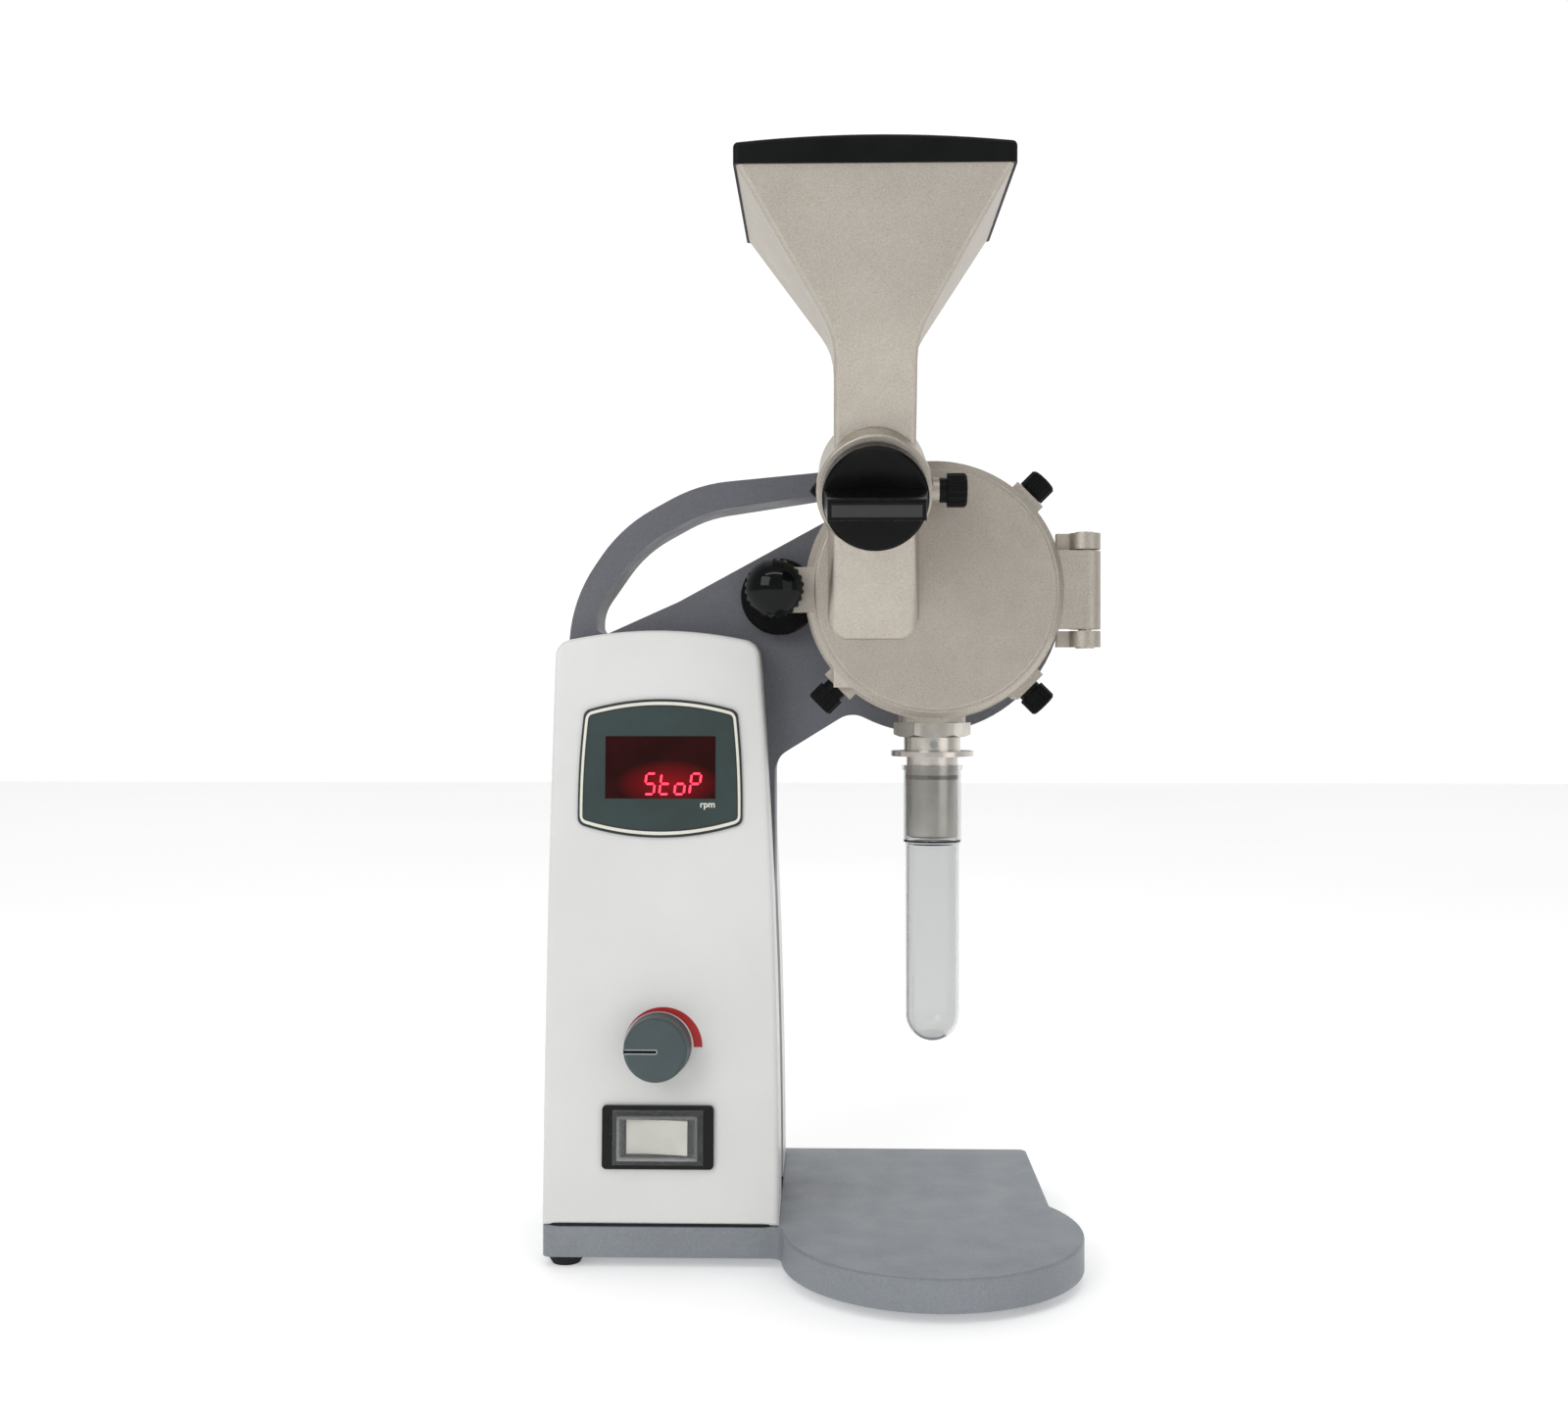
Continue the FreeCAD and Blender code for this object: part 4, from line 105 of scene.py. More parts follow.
def grain(material, shader, place, finish):
    # fine relief, with a roughness that wanders a little with it
    fine = addNode(material, "ShaderNodeTexNoise",
                   {"Scale": perMm(finish["grainMm"]), "Detail": 3.0, "Roughness": 0.65}, {"Vector": place})
    relief = addNode(material, "ShaderNodeBump",
                     {"Strength": finish["relief"], "Distance": finish["depthMm"] * mm},
                     {"Height": fine.outputs["Fac"]})
    material.node_tree.links.new(relief.outputs["Normal"], shader.inputs["Normal"])
    wander = addNode(material, "ShaderNodeTexNoise",
                     {"Scale": perMm(finish["grainMm"] * patchGrains), "Detail": 5.0}, {"Vector": place})
    low, high = finish["roughness"]
    gloss = addNode(material, "ShaderNodeMapRange",
                    {"From Min": noiseRange["glossLow"], "From Max": noiseRange["glossHigh"], "To Min": low,
                     "To Max": high}, {"Value": wander.outputs["Fac"]})
    material.node_tree.links.new(gloss.outputs["Result"], shader.inputs["Roughness"])


def surface(name, finish, settings):
    # an opaque finish: its tones, its relief and its gloss
    material, shader, place = newMaterial(name, settings)
    tint(material, shader, place, finish)
    grain(material, shader, place, finish)
    return material


# sprayed epoxy powder over cast metal: satin, with the faint orange peel of powder that has flowed. Its greys are
# darker than the base's copy of the same powder: painted shade, for the upright set back behind the housing
shadedFramePowder = surface("powder_coated_casting_painted_shade", {
    "dark": "#5c5e65", "light": "#6a6c73", "driftMm": 60, "speckMm": 0.8, "speckShare": 0.6, "grainMm": 1.1,
    "relief": 0.2, "depthMm": 0.12,
    "roughness": (0.42, 0.55)}, {"IOR": 1.5})
# the same powder on the base, in a paler grey: the lit copy, beside the frame's darker copy that carries painted
# shade
basePowder = surface("powder_coated_base", {
    "dark": "#797e84", "light": "#8b9096", "driftMm": 50, "speckMm": 0.9, "speckShare": 0.6, "grainMm": 1.1,
    "relief": 0.25, "depthMm": 0.14,
    "roughness": (0.42, 0.55)}, {"IOR": 1.5})
# injection moulded ABS with a fine spark eroded tool finish: even, slightly glossy
shellAbs = surface("moulded_abs_shell", {
    "dark": "#d9d9d7", "light": "#dfdfdd", "driftMm": 90, "grainMm": 0.9, "relief": 0.05, "depthMm": 0.05,
    "roughness": (0.28, 0.36)}, {"IOR": 1.53})
# moulded EPDM: dull black that holds a trace of dust
footRubber = surface("epdm_rubber", {
    "dark": "#131415", "light": "#1d1f20", "driftMm": 6, "grainMm": 0.7, "relief": 0.35, "depthMm": 0.1,
    "roughness": (0.7, 0.85)}, {"IOR": 1.52, "Specular IOR Level": 0.25})
# screen printed polyester film with a satin face
bezelFilm = surface("printed_polyester_film", {
    "dark": "#323f3e", "light": "#374645", "driftMm": 30, "grainMm": 0.6, "relief": 0.06, "depthMm": 0.03,
    "roughness": (0.34, 0.42)}, {"IOR": 1.57, "Specular IOR Level": 0.25})
# cream, black and red screen inks: thin, even and satin
bezelCream = surface("printed_cream_line", {
    "dark": "#dddccf", "light": "#e4e3d6", "driftMm": 20, "grainMm": 0.6, "relief": 0.05, "depthMm": 0.03,
    "roughness": (0.36, 0.42)}, {"IOR": 1.57})
bezelInk = surface("printed_black_ink", {
    "dark": "#15191b", "light": "#1b2022", "driftMm": 20, "grainMm": 0.6, "relief": 0.05, "depthMm": 0.03,
    "roughness": (0.36, 0.42)}, {"IOR": 1.57})
redInk = surface("printed_red_ink", {
    "dark": "#a30f0d", "light": "#b01210", "driftMm": 15, "grainMm": 0.6, "relief": 0.05, "depthMm": 0.03,
    "roughness": (0.34, 0.4)}, {"IOR": 1.57})
# glass filled nylon: matt black with a dry, slightly rough skin
screwNylon = surface("glass_filled_nylon", {
    "dark": "#090a0a", "light": "#101112", "driftMm": 5, "grainMm": 0.5, "relief": 0.25, "depthMm": 0.06,
    "roughness": (0.36, 0.5)}, {"IOR": 1.53, "Specular IOR Level": 0.1})
# black ABS with a satin tool finish
knobAbs = surface("black_satin_abs", {
    "dark": "#0a0a0a", "light": "#0f1010", "driftMm": 20, "grainMm": 0.6, "relief": 0.1, "depthMm": 0.04,
    "roughness": (0.24, 0.32)}, {"IOR": 1.53, "Specular IOR Level": 0.1})
# the same ABS polished by hands: a soft gloss along a rounded edge
gripAbs = surface("polished_black_abs", {
    "dark": "#0b0b0b", "light": "#101010", "driftMm": 20, "grainMm": 0.6, "relief": 0.06, "depthMm": 0.03,
    "roughness": (0.2, 0.28)}, {"IOR": 1.53})
# the same ABS with a finely textured skin: duller, with no clear reflections
lidAbs = surface("black_textured_abs", {
    "dark": "#0c0d0d", "light": "#131414", "driftMm": 30, "grainMm": 0.8, "relief": 0.16, "depthMm": 0.06,
    "roughness": (0.4, 0.5)}, {"IOR": 1.53, "Specular IOR Level": 0.1})
# polished phenolic resin: deep black with a hard gloss
phenolic = surface("polished_phenolic", {
    "dark": "#080a0b", "light": "#0c0f10", "driftMm": 12, "grainMm": 3.0, "relief": 0.03, "depthMm": 0.04,
    "roughness": (0.06, 0.1)}, {"IOR": 1.6, "Specular IOR Level": 0.14})
# ABS coloured grey all through: satin
speedAbs = surface("grey_abs_knob", {
    "dark": "#465153", "light": "#4c5759", "driftMm": 15, "grainMm": 0.5, "relief": 0.1, "depthMm": 0.04,
    "roughness": (0.4, 0.5)}, {"IOR": 1.53, "Specular IOR Level": 0.25})
# pad printed pale grey line: flat and matt
pointerGrey = surface("pale_grey_print", {
    "dark": "#9aa5a6", "light": "#a4afb0", "driftMm": 10, "grainMm": 0.5, "relief": 0.05, "depthMm": 0.03,
    "roughness": (0.4, 0.5)}, {"IOR": 1.53})
# black nylon from a polished tool: smooth, with a low gloss
switchNylon = surface("black_gloss_nylon", {
    "dark": "#0e0f0f", "light": "#141515", "driftMm": 12, "grainMm": 0.7, "relief": 0.06, "depthMm": 0.04,
    "roughness": (0.2, 0.3)}, {"IOR": 1.53, "Specular IOR Level": 0.18})
# white PBT: smooth and slightly creamy
rockerPbt = surface("white_pbt", {
    "dark": "#d2cfc6", "light": "#dedbd3", "driftMm": 14, "grainMm": 0.7, "relief": 0.05, "depthMm": 0.04,
    "roughness": (0.28, 0.36)}, {"IOR": 1.55})
# cast aluminium blasted with glass beads: warm grey, with an even sparkle of small dents
castAluminium = surface("bead_blasted_aluminium", {
    "dark": "#a9a298", "light": "#c5beb4", "driftMm": 45, "speckMm": 0.55, "speckShare": 0.8, "grainMm": 0.6,
    "relief": 0.5, "depthMm": 0.12, "roughness": (0.44, 0.52)}, {"Metallic": 1.0})
# machined aluminium: smoother and cooler than the casting
flangeAluminium = surface("machined_aluminium", {
    "dark": "#a4a4a2", "light": "#b2b2b0", "driftMm": 20, "grainMm": 0.6, "relief": 0.15, "depthMm": 0.05,
    "roughness": (0.34, 0.45)}, {"Metallic": 1.0})
# zinc plated steel: bright, with a faint mottle
plainSteel = surface("zinc_plated_steel", {
    "dark": "#9fa1a2", "light": "#b0b2b2", "driftMm": 8, "grainMm": 0.6, "relief": 0.12, "depthMm": 0.04,
    "roughness": (0.28, 0.4)}, {"Metallic": 1.0})
# stacked electrical sheet: dark, with fine relief where its edges show
laminatedSteel = surface("laminated_steel", {
    "dark": "#3c3c3e", "light": "#4b4b4d", "driftMm": 5, "grainMm": 0.5, "relief": 0.3, "depthMm": 0.1,
    "roughness": (0.45, 0.6)}, {"Metallic": 1.0})
# enamelled winding wire: reddish brown gloss, uneven with its turns
enamelledCopper = surface("enamelled_copper", {
    "dark": "#7d4227", "light": "#9a5a35", "driftMm": 3, "grainMm": 0.8, "relief": 0.5, "depthMm": 0.3,
    "roughness": (0.3, 0.4)}, {"Metallic": 1.0})
# green solder mask on a fibreglass board: glossy, over slightly raised tracks
solderMask = surface("green_solder_mask", {
    "dark": "#174a2c", "light": "#1f5c38", "driftMm": 10, "grainMm": 1.5, "relief": 0.2, "depthMm": 0.05,
    "roughness": (0.3, 0.4)}, {"IOR": 1.55})


def turnedSteel(name, axis, centre):
    # stainless steel from the lathe: rings round the turning axis. A wave texture turns 20 radians a metre, and
    # one radian every 0.5 mm puts the rings 3 mm apart, far coarser than tool marks, so that they show
    radianMm = 0.5
    waveRadians = 20
    material, shader, place = newMaterial(name, {"Metallic": 1.0})
    tint(material, shader, place, {"dark": "#c4beb6", "light": "#d8d3cb", "driftMm": 14})
    moved = addNode(material, "ShaderNodeMapping", {"Location": tuple(-c * mm for c in centre)}, {"Vector": place})
    rings = addNode(material, "ShaderNodeTexWave",
                    {"wave_type": "RINGS", "rings_direction": axis, "Scale": perMm(radianMm) / waveRadians,
                     "Distortion": 0.6},
                    {"Vector": moved.outputs["Vector"]})
    relief = addNode(material, "ShaderNodeBump", {"Strength": 0.12, "Distance": 0.05 * mm},
                     {"Height": rings.outputs["Fac"]})
    material.node_tree.links.new(relief.outputs["Normal"], shader.inputs["Normal"])
    shine = addNode(material, "ShaderNodeMapRange", {"To Min": 0.22, "To Max": 0.36},
                    {"Value": rings.outputs["Fac"]})
    material.node_tree.links.new(shine.outputs["Result"], shader.inputs["Roughness"])
    return material


def clearPlastic(name, finish, settings):
    # clear moulding: the gloss breaks up a little where it has been handled
    material, shader, place = newMaterial(name, settings)
    grain(material, shader, place, finish)
    return material


# pale silicone o-ring, which hardly shows through the tube
ringSilicone = surface("pale_silicone", {
    "dark": "#8d8a84", "light": "#9a9791", "driftMm": 6, "grainMm": 0.4, "relief": 0.08, "depthMm": 0.03,
    "roughness": (0.4, 0.55)}, {"IOR": 1.41})
# drawn polycarbonate sample tube
tubeClear = clearPlastic("clear_polycarbonate", {
    "grainMm": 6, "relief": 0.05, "depthMm": 0.05, "roughness": (0.03, 0.09)},
    {"Base Color": colour("#e0e1e1"), "Transmission Weight": 1.0, "IOR": 1.45})
# soft clear PVC: almost nothing face on, milky where the film is seen edge on
capClear = clearPlastic("clear_soft_pvc", {
    "grainMm": 3, "relief": 0.15, "depthMm": 0.1, "roughness": (0.08, 0.18)},
    {"Base Color": colour("#e4e7e6"), "IOR": 1.4})
capEdge = addNode(capClear, "ShaderNodeLayerWeight", {"Blend": 0.35})
capFilm = addNode(capClear, "ShaderNodeMapRange", {"To Min": 0.06, "To Max": 0.55},
                  {"Value": capEdge.outputs["Facing"]})
capShader = capClear.node_tree.nodes["Principled BSDF"]
capClear.node_tree.links.new(capFilm.outputs["Result"], capShader.inputs["Alpha"])


# the painted glow of the digits' light on the window, given off as emission: its middle, and how steeply it fades to
# the sides and up and down
paintedWindowGlow = {"x": -69.5, "height": 222.5, "fadeWide": 40, "fadeTall": 90, "strength": 0.35}


def litWindow():
    # dark red acrylic over the digits, with their light spreading in it painted on as an emitted glow
    material, shader, place = newMaterial("red_acrylic_window", {"IOR": 1.49, "Specular IOR Level": 0.15})
    tint(material, shader, place, {"dark": "#260b0a", "light": "#300e0f", "driftMm": 18})
    grain(material, shader, place, {"grainMm": 4, "relief": 0.03, "depthMm": 0.03, "roughness": (0.12, 0.2)})
    wide, tall = paintedWindowGlow["fadeWide"], paintedWindowGlow["fadeTall"]
    centre = addNode(material, "ShaderNodeMapping",
                     {"Location": (-paintedWindowGlow["x"] * mm * wide, 0.0, -paintedWindowGlow["height"] * mm * tall),
                      "Scale": (wide, 0.0, tall)}, {"Vector": place})
    glow = addNode(material, "ShaderNodeTexGradient", {"gradient_type": "SPHERICAL"},
                   {"Vector": centre.outputs["Vector"]})
    strength = addNode(material, "ShaderNodeMapRange", {"To Min": 0.0, "To Max": paintedWindowGlow["strength"]},
                       {"Value": glow.outputs["Fac"]})
    shader.inputs["Emission Color"].default_value = colour("#d10f1e")
    material.node_tree.links.new(strength.outputs["Result"], shader.inputs["Emission Strength"])
    return material


# lit segments: red light, a little uneven along each stroke
litDigits, digitShader, digitPlace = newMaterial("lit_digit_segments", {
    "Base Color": colour("#f0304a"), "Roughness": 0.4, "Emission Color": colour("#ff2c44"), "Emission Strength": 3.0})
digitNoise = addNode(litDigits, "ShaderNodeTexNoise", {"Scale": perMm(1.5)}, {"Vector": digitPlace})
digitLevel = addNode(litDigits, "ShaderNodeMapRange", {"To Min": 2.2, "To Max": 3.4},
                     {"Value": digitNoise.outputs["Fac"]})
litDigits.node_tree.links.new(digitLevel.outputs["Result"], digitShader.inputs["Emission Strength"])

outletSteel = turnedSteel("turned_outlet_steel", "Z", (52.5, -52, 0))
socketSteel = turnedSteel("turned_socket_steel", "Y", (-18.5, 0, 311))
pinSteel = turnedSteel("turned_pin_steel", "Z", (120, -66, 0))
windowRed = litWindow()

nodeFinishes = {
    "frame_upright": shadedFramePowder, "motor_case": shadedFramePowder, "motor_cap": shadedFramePowder, "base_plate": basePowder,
    "front_housing": shellAbs, "rear_housing": shellAbs,
    "foot_1": footRubber, "foot_2": footRubber, "foot_3": footRubber, "foot_4": footRubber,
    "shaft_seal": footRubber, "cover_gasket": footRubber, "tube_ring": ringSilicone,
    "display_bezel": bezelFilm, "display_window": windowRed, "display_board": solderMask,
    "control_board": solderMask, "speed_knob": speedAbs, "switch_body": switchNylon, "mains_inlet": switchNylon,
    "rocker": rockerPbt, "feed_plug": rockerPbt, "splash_cap": capClear,
    "thumbscrew_1": screwNylon, "thumbscrew_2": screwNylon, "thumbscrew_3": screwNylon,
    "thumbscrew_4": screwNylon, "feed_thumbscrew": screwNylon,
    "lock_knob": phenolic, "feed_knob": knobAbs, "hopper_lid": lidAbs, "motor_fan": knobAbs,
    "chamber_bowl": castAluminium, "cover": castAluminium, "hopper": castAluminium,
    "bearing_flange": flangeAluminium, "interlock_socket": knobAbs, "lock_washer": socketSteel,
    "outlet_nut": outletSteel, "outlet_spigot": outletSteel, "hinge_pin": pinSteel,
    "frame_screws": plainSteel, "speed_potentiometer": plainSteel, "front_bearing": plainSteel,
    "rear_bearing": plainSteel, "chamber_screws": plainSteel, "sieve_ring": plainSteel,
    "rotor_shaft": plainSteel, "grinding_rotor": plainSteel, "rotor_nut": plainSteel,
    "clamp_pad_1": plainSteel, "clamp_pad_2": plainSteel, "clamp_pad_3": plainSteel, "clamp_pad_4": plainSteel,
    "spindle_clip": plainSteel, "outlet_set_screw": plainSteel,
    "stator": laminatedSteel, "armature": enamelledCopper, "test_tube": tubeClear,
}
for name, node in nodes.items():
    node.data.materials.clear()
    node.data.materials.append(nodeFinishes[name])
print("materials on all nodes")


# Pieces on the leaning panel

panel = {"x": -73.5, "leanDegrees": 4, "footHeight": 19.5, "footY": -50}


def onPanel(x, height, out):
    # a place on the housing's front, to the right of its middle line, out along its normal
    lean = math.radians(panel["leanDegrees"])
    back = (height - panel["footHeight"]) * math.tan(lean) + panel["footY"]
    return Vector((panel["x"] + x, back - out * math.cos(lean), height + out * math.sin(lean))) * mm


def panelPlace(height, out):
    # turns a flat shape drawn in X and Y, in millimetres, to the leaning panel
    lean = Matrix.Rotation(math.radians(90 - panel["leanDegrees"]), 4, "X")
    return Matrix.Translation(onPanel(0, height, out)) @ lean @ Matrix.Scale(mm, 4)


def meshPiece(name, shape, material, body):
    # finishes a bmesh as a piece that rides on a body
    mesh = bpy.data.meshes.new(name)
    shape.to_mesh(mesh)
    shape.free()
    piece = bpy.data.objects.new(name, mesh)
    scene.collection.objects.link(piece)
    mesh.materials.append(material)
    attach(piece, body)


def panelPiece(name, shape, height, out, material, body):
    # lays a flat shape drawn in millimetres on the panel
    bmesh.ops.recalc_face_normals(shape, faces=shape.faces)
    shape.transform(panelPlace(height, out))
    meshPiece(name, shape, material, body)


def thicken(shape, faces, thickness):
    # lifts some flat faces off their own outline, which leaves a closed plate
    grown = bmesh.ops.extrude_face_region(shape, geom=faces)
    lifted = [item for item in grown["geom"] if isinstance(item, bmesh.types.BMVert)]
    bmesh.ops.translate(shape, verts=lifted, vec=(0, 0, thickness))


def plate(shape, outline, thickness):
    # a flat plate from an outline of points
    corners = [shape.verts.new((x, y, 0)) for x, y in outline]
    thicken(shape, [shape.faces.new(corners)], thickness)


# the lines printed round the display: each from one inset of the frame's outline to another
bezel = {
    "height": 230, "face": 1.2, "tall": 53, "top": 72, "bottom": 77, "bow": 120, "sideBow": 400, "edgeSteps": 24,
    "corner": 4, "leastCorner": 1.2, "cornerSteps": 6, "cutMargin": 1.2, "thickness": 0.12,
    "lines": [(0.35, 0.95, bezelInk), (0.95, 2.1, bezelCream), (2.1, 2.6, bezelInk)],
}


def bowedEdge(start, end, bow, steps):
    # points along a shallow arc that bulges to the right of its direction
    along = end - start
    out = Vector((along.y, -along.x)).normalized()
    rise = bow - math.sqrt(bow * bow - (along.length / 2) ** 2)
    return [start + along * (i / steps) + out * rise * (1 - (2 * i / steps - 1) ** 2) for i in range(steps + 1)]


def trimmed(edge, radius):
    # the edge without what lies nearer than the radius to its ends, with a point at each cut
    start, end = edge[0], edge[-1]
    first = start + (edge[1] - start).normalized() * radius
    last = end + (edge[-2] - end).normalized() * radius
    clear = radius * bezel["cutMargin"]
    middle = [p for p in edge if (p - start).length > clear and (p - end).length > clear]
    return [first] + middle + [last]


def cornerArc(first, corner, last, steps):
    # a soft corner between two edges
    shares = [i / steps for i in range(1, steps)]
    return [first * (1 - t) ** 2 + corner * 2 * t * (1 - t) + last * t ** 2 for t in shares]


def bezelOutline(inset):
    # the display frame's outline, drawn in by the inset, with rounded corners
    half = bezel["tall"] / 2 - inset
    bottom = bezel["bottom"] / 2 - inset
    top = bezel["top"] / 2 - inset
    corners = [Vector(corner) for corner in ((-bottom, -half), (bottom, -half), (top, half), (-top, half))]
    bows = [bezel["bow"], bezel["sideBow"]] * 2
    radius = max(bezel["corner"] - inset, bezel["leastCorner"])
    edges = []
    for i in range(4):
        edges.append(trimmed(bowedEdge(corners[i], corners[(i + 1) % 4], bows[i], bezel["edgeSteps"]), radius))
    outline = []
    for i in range(4):
        after = (i + 1) % 4
        outline += edges[i] + cornerArc(edges[i][-1], corners[after], edges[after][0], bezel["cornerSteps"])
    return [(p.x, p.y) for p in outline]


def bezelLine(name, outer, inner, ink):
    # a printed line between two insets of the outline
    shape = bmesh.new()
    rims = []
    for inset in (outer, inner):
        corners = [shape.verts.new((x, y, 0)) for x, y in bezelOutline(inset)]
        rims += [shape.edges.new(pair) for pair in zip(corners, corners[1:] + corners[:1])]
    bmesh.ops.bridge_loops(shape, edges=rims)
    thicken(shape, list(shape.faces), bezel["thickness"])
    panelPiece(name, shape, bezel["height"], bezel["face"], ink, "frame")


for number, (outer, inner, ink) in enumerate(bezel["lines"], 1):
    bezelLine(f"bezel_line_{number}", outer, inner, ink)

# the dial's scale: a red crescent that widens from the left end to the right
dial = {"height": 100.9, "out": 0.02, "inner": 16.3, "outer": 18.3, "shift": 2.0, "steps": 64, "thickness": 0.15}
turns = [math.pi * i / dial["steps"] for i in range(dial["steps"] + 1)]
outerRim = [(dial["shift"] + dial["outer"] * math.cos(turn), dial["outer"] * math.sin(turn)) for turn in turns]
innerRim = [(dial["inner"] * math.cos(turn), dial["inner"] * math.sin(turn)) for turn in turns]
shape = bmesh.new()
plate(shape, outerRim + innerRim[::-1], dial["thickness"])
panelPiece("speed_scale", shape, dial["height"], dial["out"], redInk, "frame")

# the lit word on the display, in seven segment strokes, at the lower right of the window
digits = {
    "height": 222.3, "start": -6.9, "pitch": 7.05, "wide": 4.4, "tall": 9.6, "stroke": 1.05, "slant": 0.12,
    "gap": 0.35, "thickness": 0.08, "out": 1.5, "word": ["afgcd", "fged", "gecd", "abgef"],
    "segments": {
        "a": ((0, 1), (1, 1)), "b": ((1, 1), (1, 0.5)), "c": ((1, 0.5), (1, 0)), "d": ((0, 0), (1, 0)),
        "e": ((0, 0.5), (0, 0)), "f": ((0, 1), (0, 0.5)), "g": ((0, 0.5), (1, 0.5)),
    },
}


def segmentOutline(left, ends):
    # a stroke with pointed ends, leaning a little to the right
    start, end = [Vector((left + x * digits["wide"], (y - 0.5) * digits["tall"])) for x, y in ends]
    along = (end - start).normalized()
    across = Vector((-along.y, along.x)) * digits["stroke"] / 2
    start = start + along * digits["gap"]
    end = end - along * digits["gap"]
    tip = along * digits["stroke"] / 2
    outline = [start, start + tip - across, end - tip - across, end, end - tip + across, start + tip + across]
    return [(p.x + p.y * digits["slant"], p.y) for p in outline]


shape = bmesh.new()
for number, lit in enumerate(digits["word"]):
    left = digits["start"] + number * digits["pitch"]
    for name in lit:
        plate(shape, segmentOutline(left, digits["segments"][name]), digits["thickness"])
panelPiece("display_digits", shape, digits["height"], digits["out"], litDigits, "frame")

# the unit under the window: small flat lettering, made a mesh before it is placed
unit = {"text": "rpm", "size": 4.3, "x": 22.2, "height": 211.4, "weight": 0.02, "halfThickness": 0.06}
lettering = bpy.data.curves.new("unit_word", "FONT")
lettering.body = unit["text"]
lettering.size = unit["size"]
lettering.align_x = "CENTER"
lettering.offset = unit["size"] * unit["weight"]
lettering.extrude = unit["halfThickness"]
draft = bpy.data.objects.new("unit_word_draft", lettering)
scene.collection.objects.link(draft)
bpy.context.view_layer.update()
letterMesh = bpy.data.meshes.new_from_object(draft.evaluated_get(bpy.context.evaluated_depsgraph_get()))
bpy.data.objects.remove(draft)
shape = bmesh.new()
shape.from_mesh(letterMesh)
bmesh.ops.translate(shape, verts=shape.verts, vec=(unit["x"], 0, 0))
panelPiece("unit_word", shape, unit["height"], bezel["face"] + unit["halfThickness"], bezelCream, "frame")

# the speed knob's pointer: a paler line, with a black strip down it that is painted shade for the pointer's slot,
# from the middle to the left edge
pointer = {
    "height": 100.9, "face": 17.5, "steps": 12,
    "bars": [
        {"name": "pointer_line", "wide": 2.3, "reach": 13.8, "thickness": 0.14, "material": pointerGrey},
        {"name": "pointer_slot_painted_shade", "wide": 1.3, "reach": 14.4, "thickness": 0.224, "material": knobAbs},
    ],
}
for bar in pointer["bars"]:
    # a flat bar that ends in a half round at the middle of the knob
    outline = [(-bar["reach"], bar["wide"] / 2), (-bar["reach"], -bar["wide"] / 2)]
    for i in range(pointer["steps"] + 1):
        turn = math.pi * (i / pointer["steps"] - 0.5)
        outline.append((bar["wide"] / 2 * math.cos(turn), bar["wide"] / 2 * math.sin(turn)))
    shape = bmesh.new()
    plate(shape, outline, bar["thickness"])
    panelPiece(bar["name"], shape, pointer["height"], pointer["face"], bar["material"], "speed")
print("panel pieces done")


# Pieces of the casting, the feed knob's cap and the dark sheet that paints the seam's shade

def rounded(shape, edges, width, steps):
    bmesh.ops.bevel(shape, geom=edges, offset=width, segments=steps, profile=0.5, affect="EDGES", material=-1,
                    clamp_overlap=True)


def softened(shape, width, steps, sharpDegrees):
    # rounds every edge that is sharper than the given angle
    rounded(shape, [edge for edge in shape.edges if len(edge.link_faces) == 2
                    and edge.calc_face_angle() > math.radians(sharpDegrees)], width, steps)


def block(wide, deep, tall):
    # a plain block round the origin, for a shape to start from
    shape = bmesh.new()
    bmesh.ops.create_cube(shape, size=1)
    bmesh.ops.scale(shape, verts=shape.verts, vec=(wide, deep, tall))
    return shape


def solidPiece(name, shape, material, body):
    # a closed shape that is in its place already
    bmesh.ops.recalc_face_normals(shape, faces=shape.faces)
    meshPiece(name, shape, material, body)


casting = {
    "axisX": 52.5, "axisHeight": 311, "coverFront": -76, "chuteX": 25.1, "chuteFoot": 290.5, "slope": 0.3482,
    "leanDegrees": 19.2, "bossHeight": 350.5, "bossFace": -103.7, "flatDegrees": 3, "sharpDegrees": 24,
    "roundSteps": 3,
}


def hullPiece(name, points, rounding):
    # the tight skin round some points, with its sharp edges rounded: a drafted boss or rib of the cover
    shape = bmesh.new()
    for point in points:
        shape.verts.new(Vector(point) * mm)
    skin = bmesh.ops.convex_hull(shape, input=shape.verts)
    spare = {item for item in skin["geom_interior"] + skin["geom_unused"] if isinstance(item, bmesh.types.BMVert)}
    bmesh.ops.delete(shape, geom=list(spare), context="VERTS")
    bmesh.ops.dissolve_limit(shape, angle_limit=math.radians(casting["flatDegrees"]), verts=shape.verts,
                             edges=shape.edges)
    softened(shape, rounding * mm, casting["roundSteps"], casting["sharpDegrees"])
    solidPiece(name, shape, castAluminium, "cover")


def chuteFace(height, proud):
    # depth of the chute's leaning front at a height, brought forward a little
    return casting["coverFront"] - (height - casting["chuteFoot"]) * casting["slope"] - proud


def bossSpot(side, up, out):
    # a place on the valve boss: to the side, up its leaning face and out along its axis
    lean = math.radians(casting["leanDegrees"])
    return (casting["chuteX"] + side,
            casting["bossFace"] - out * math.cos(lean) - up * math.sin(lean),
            casting["bossHeight"] - out * math.sin(lean) + up * math.cos(lean))


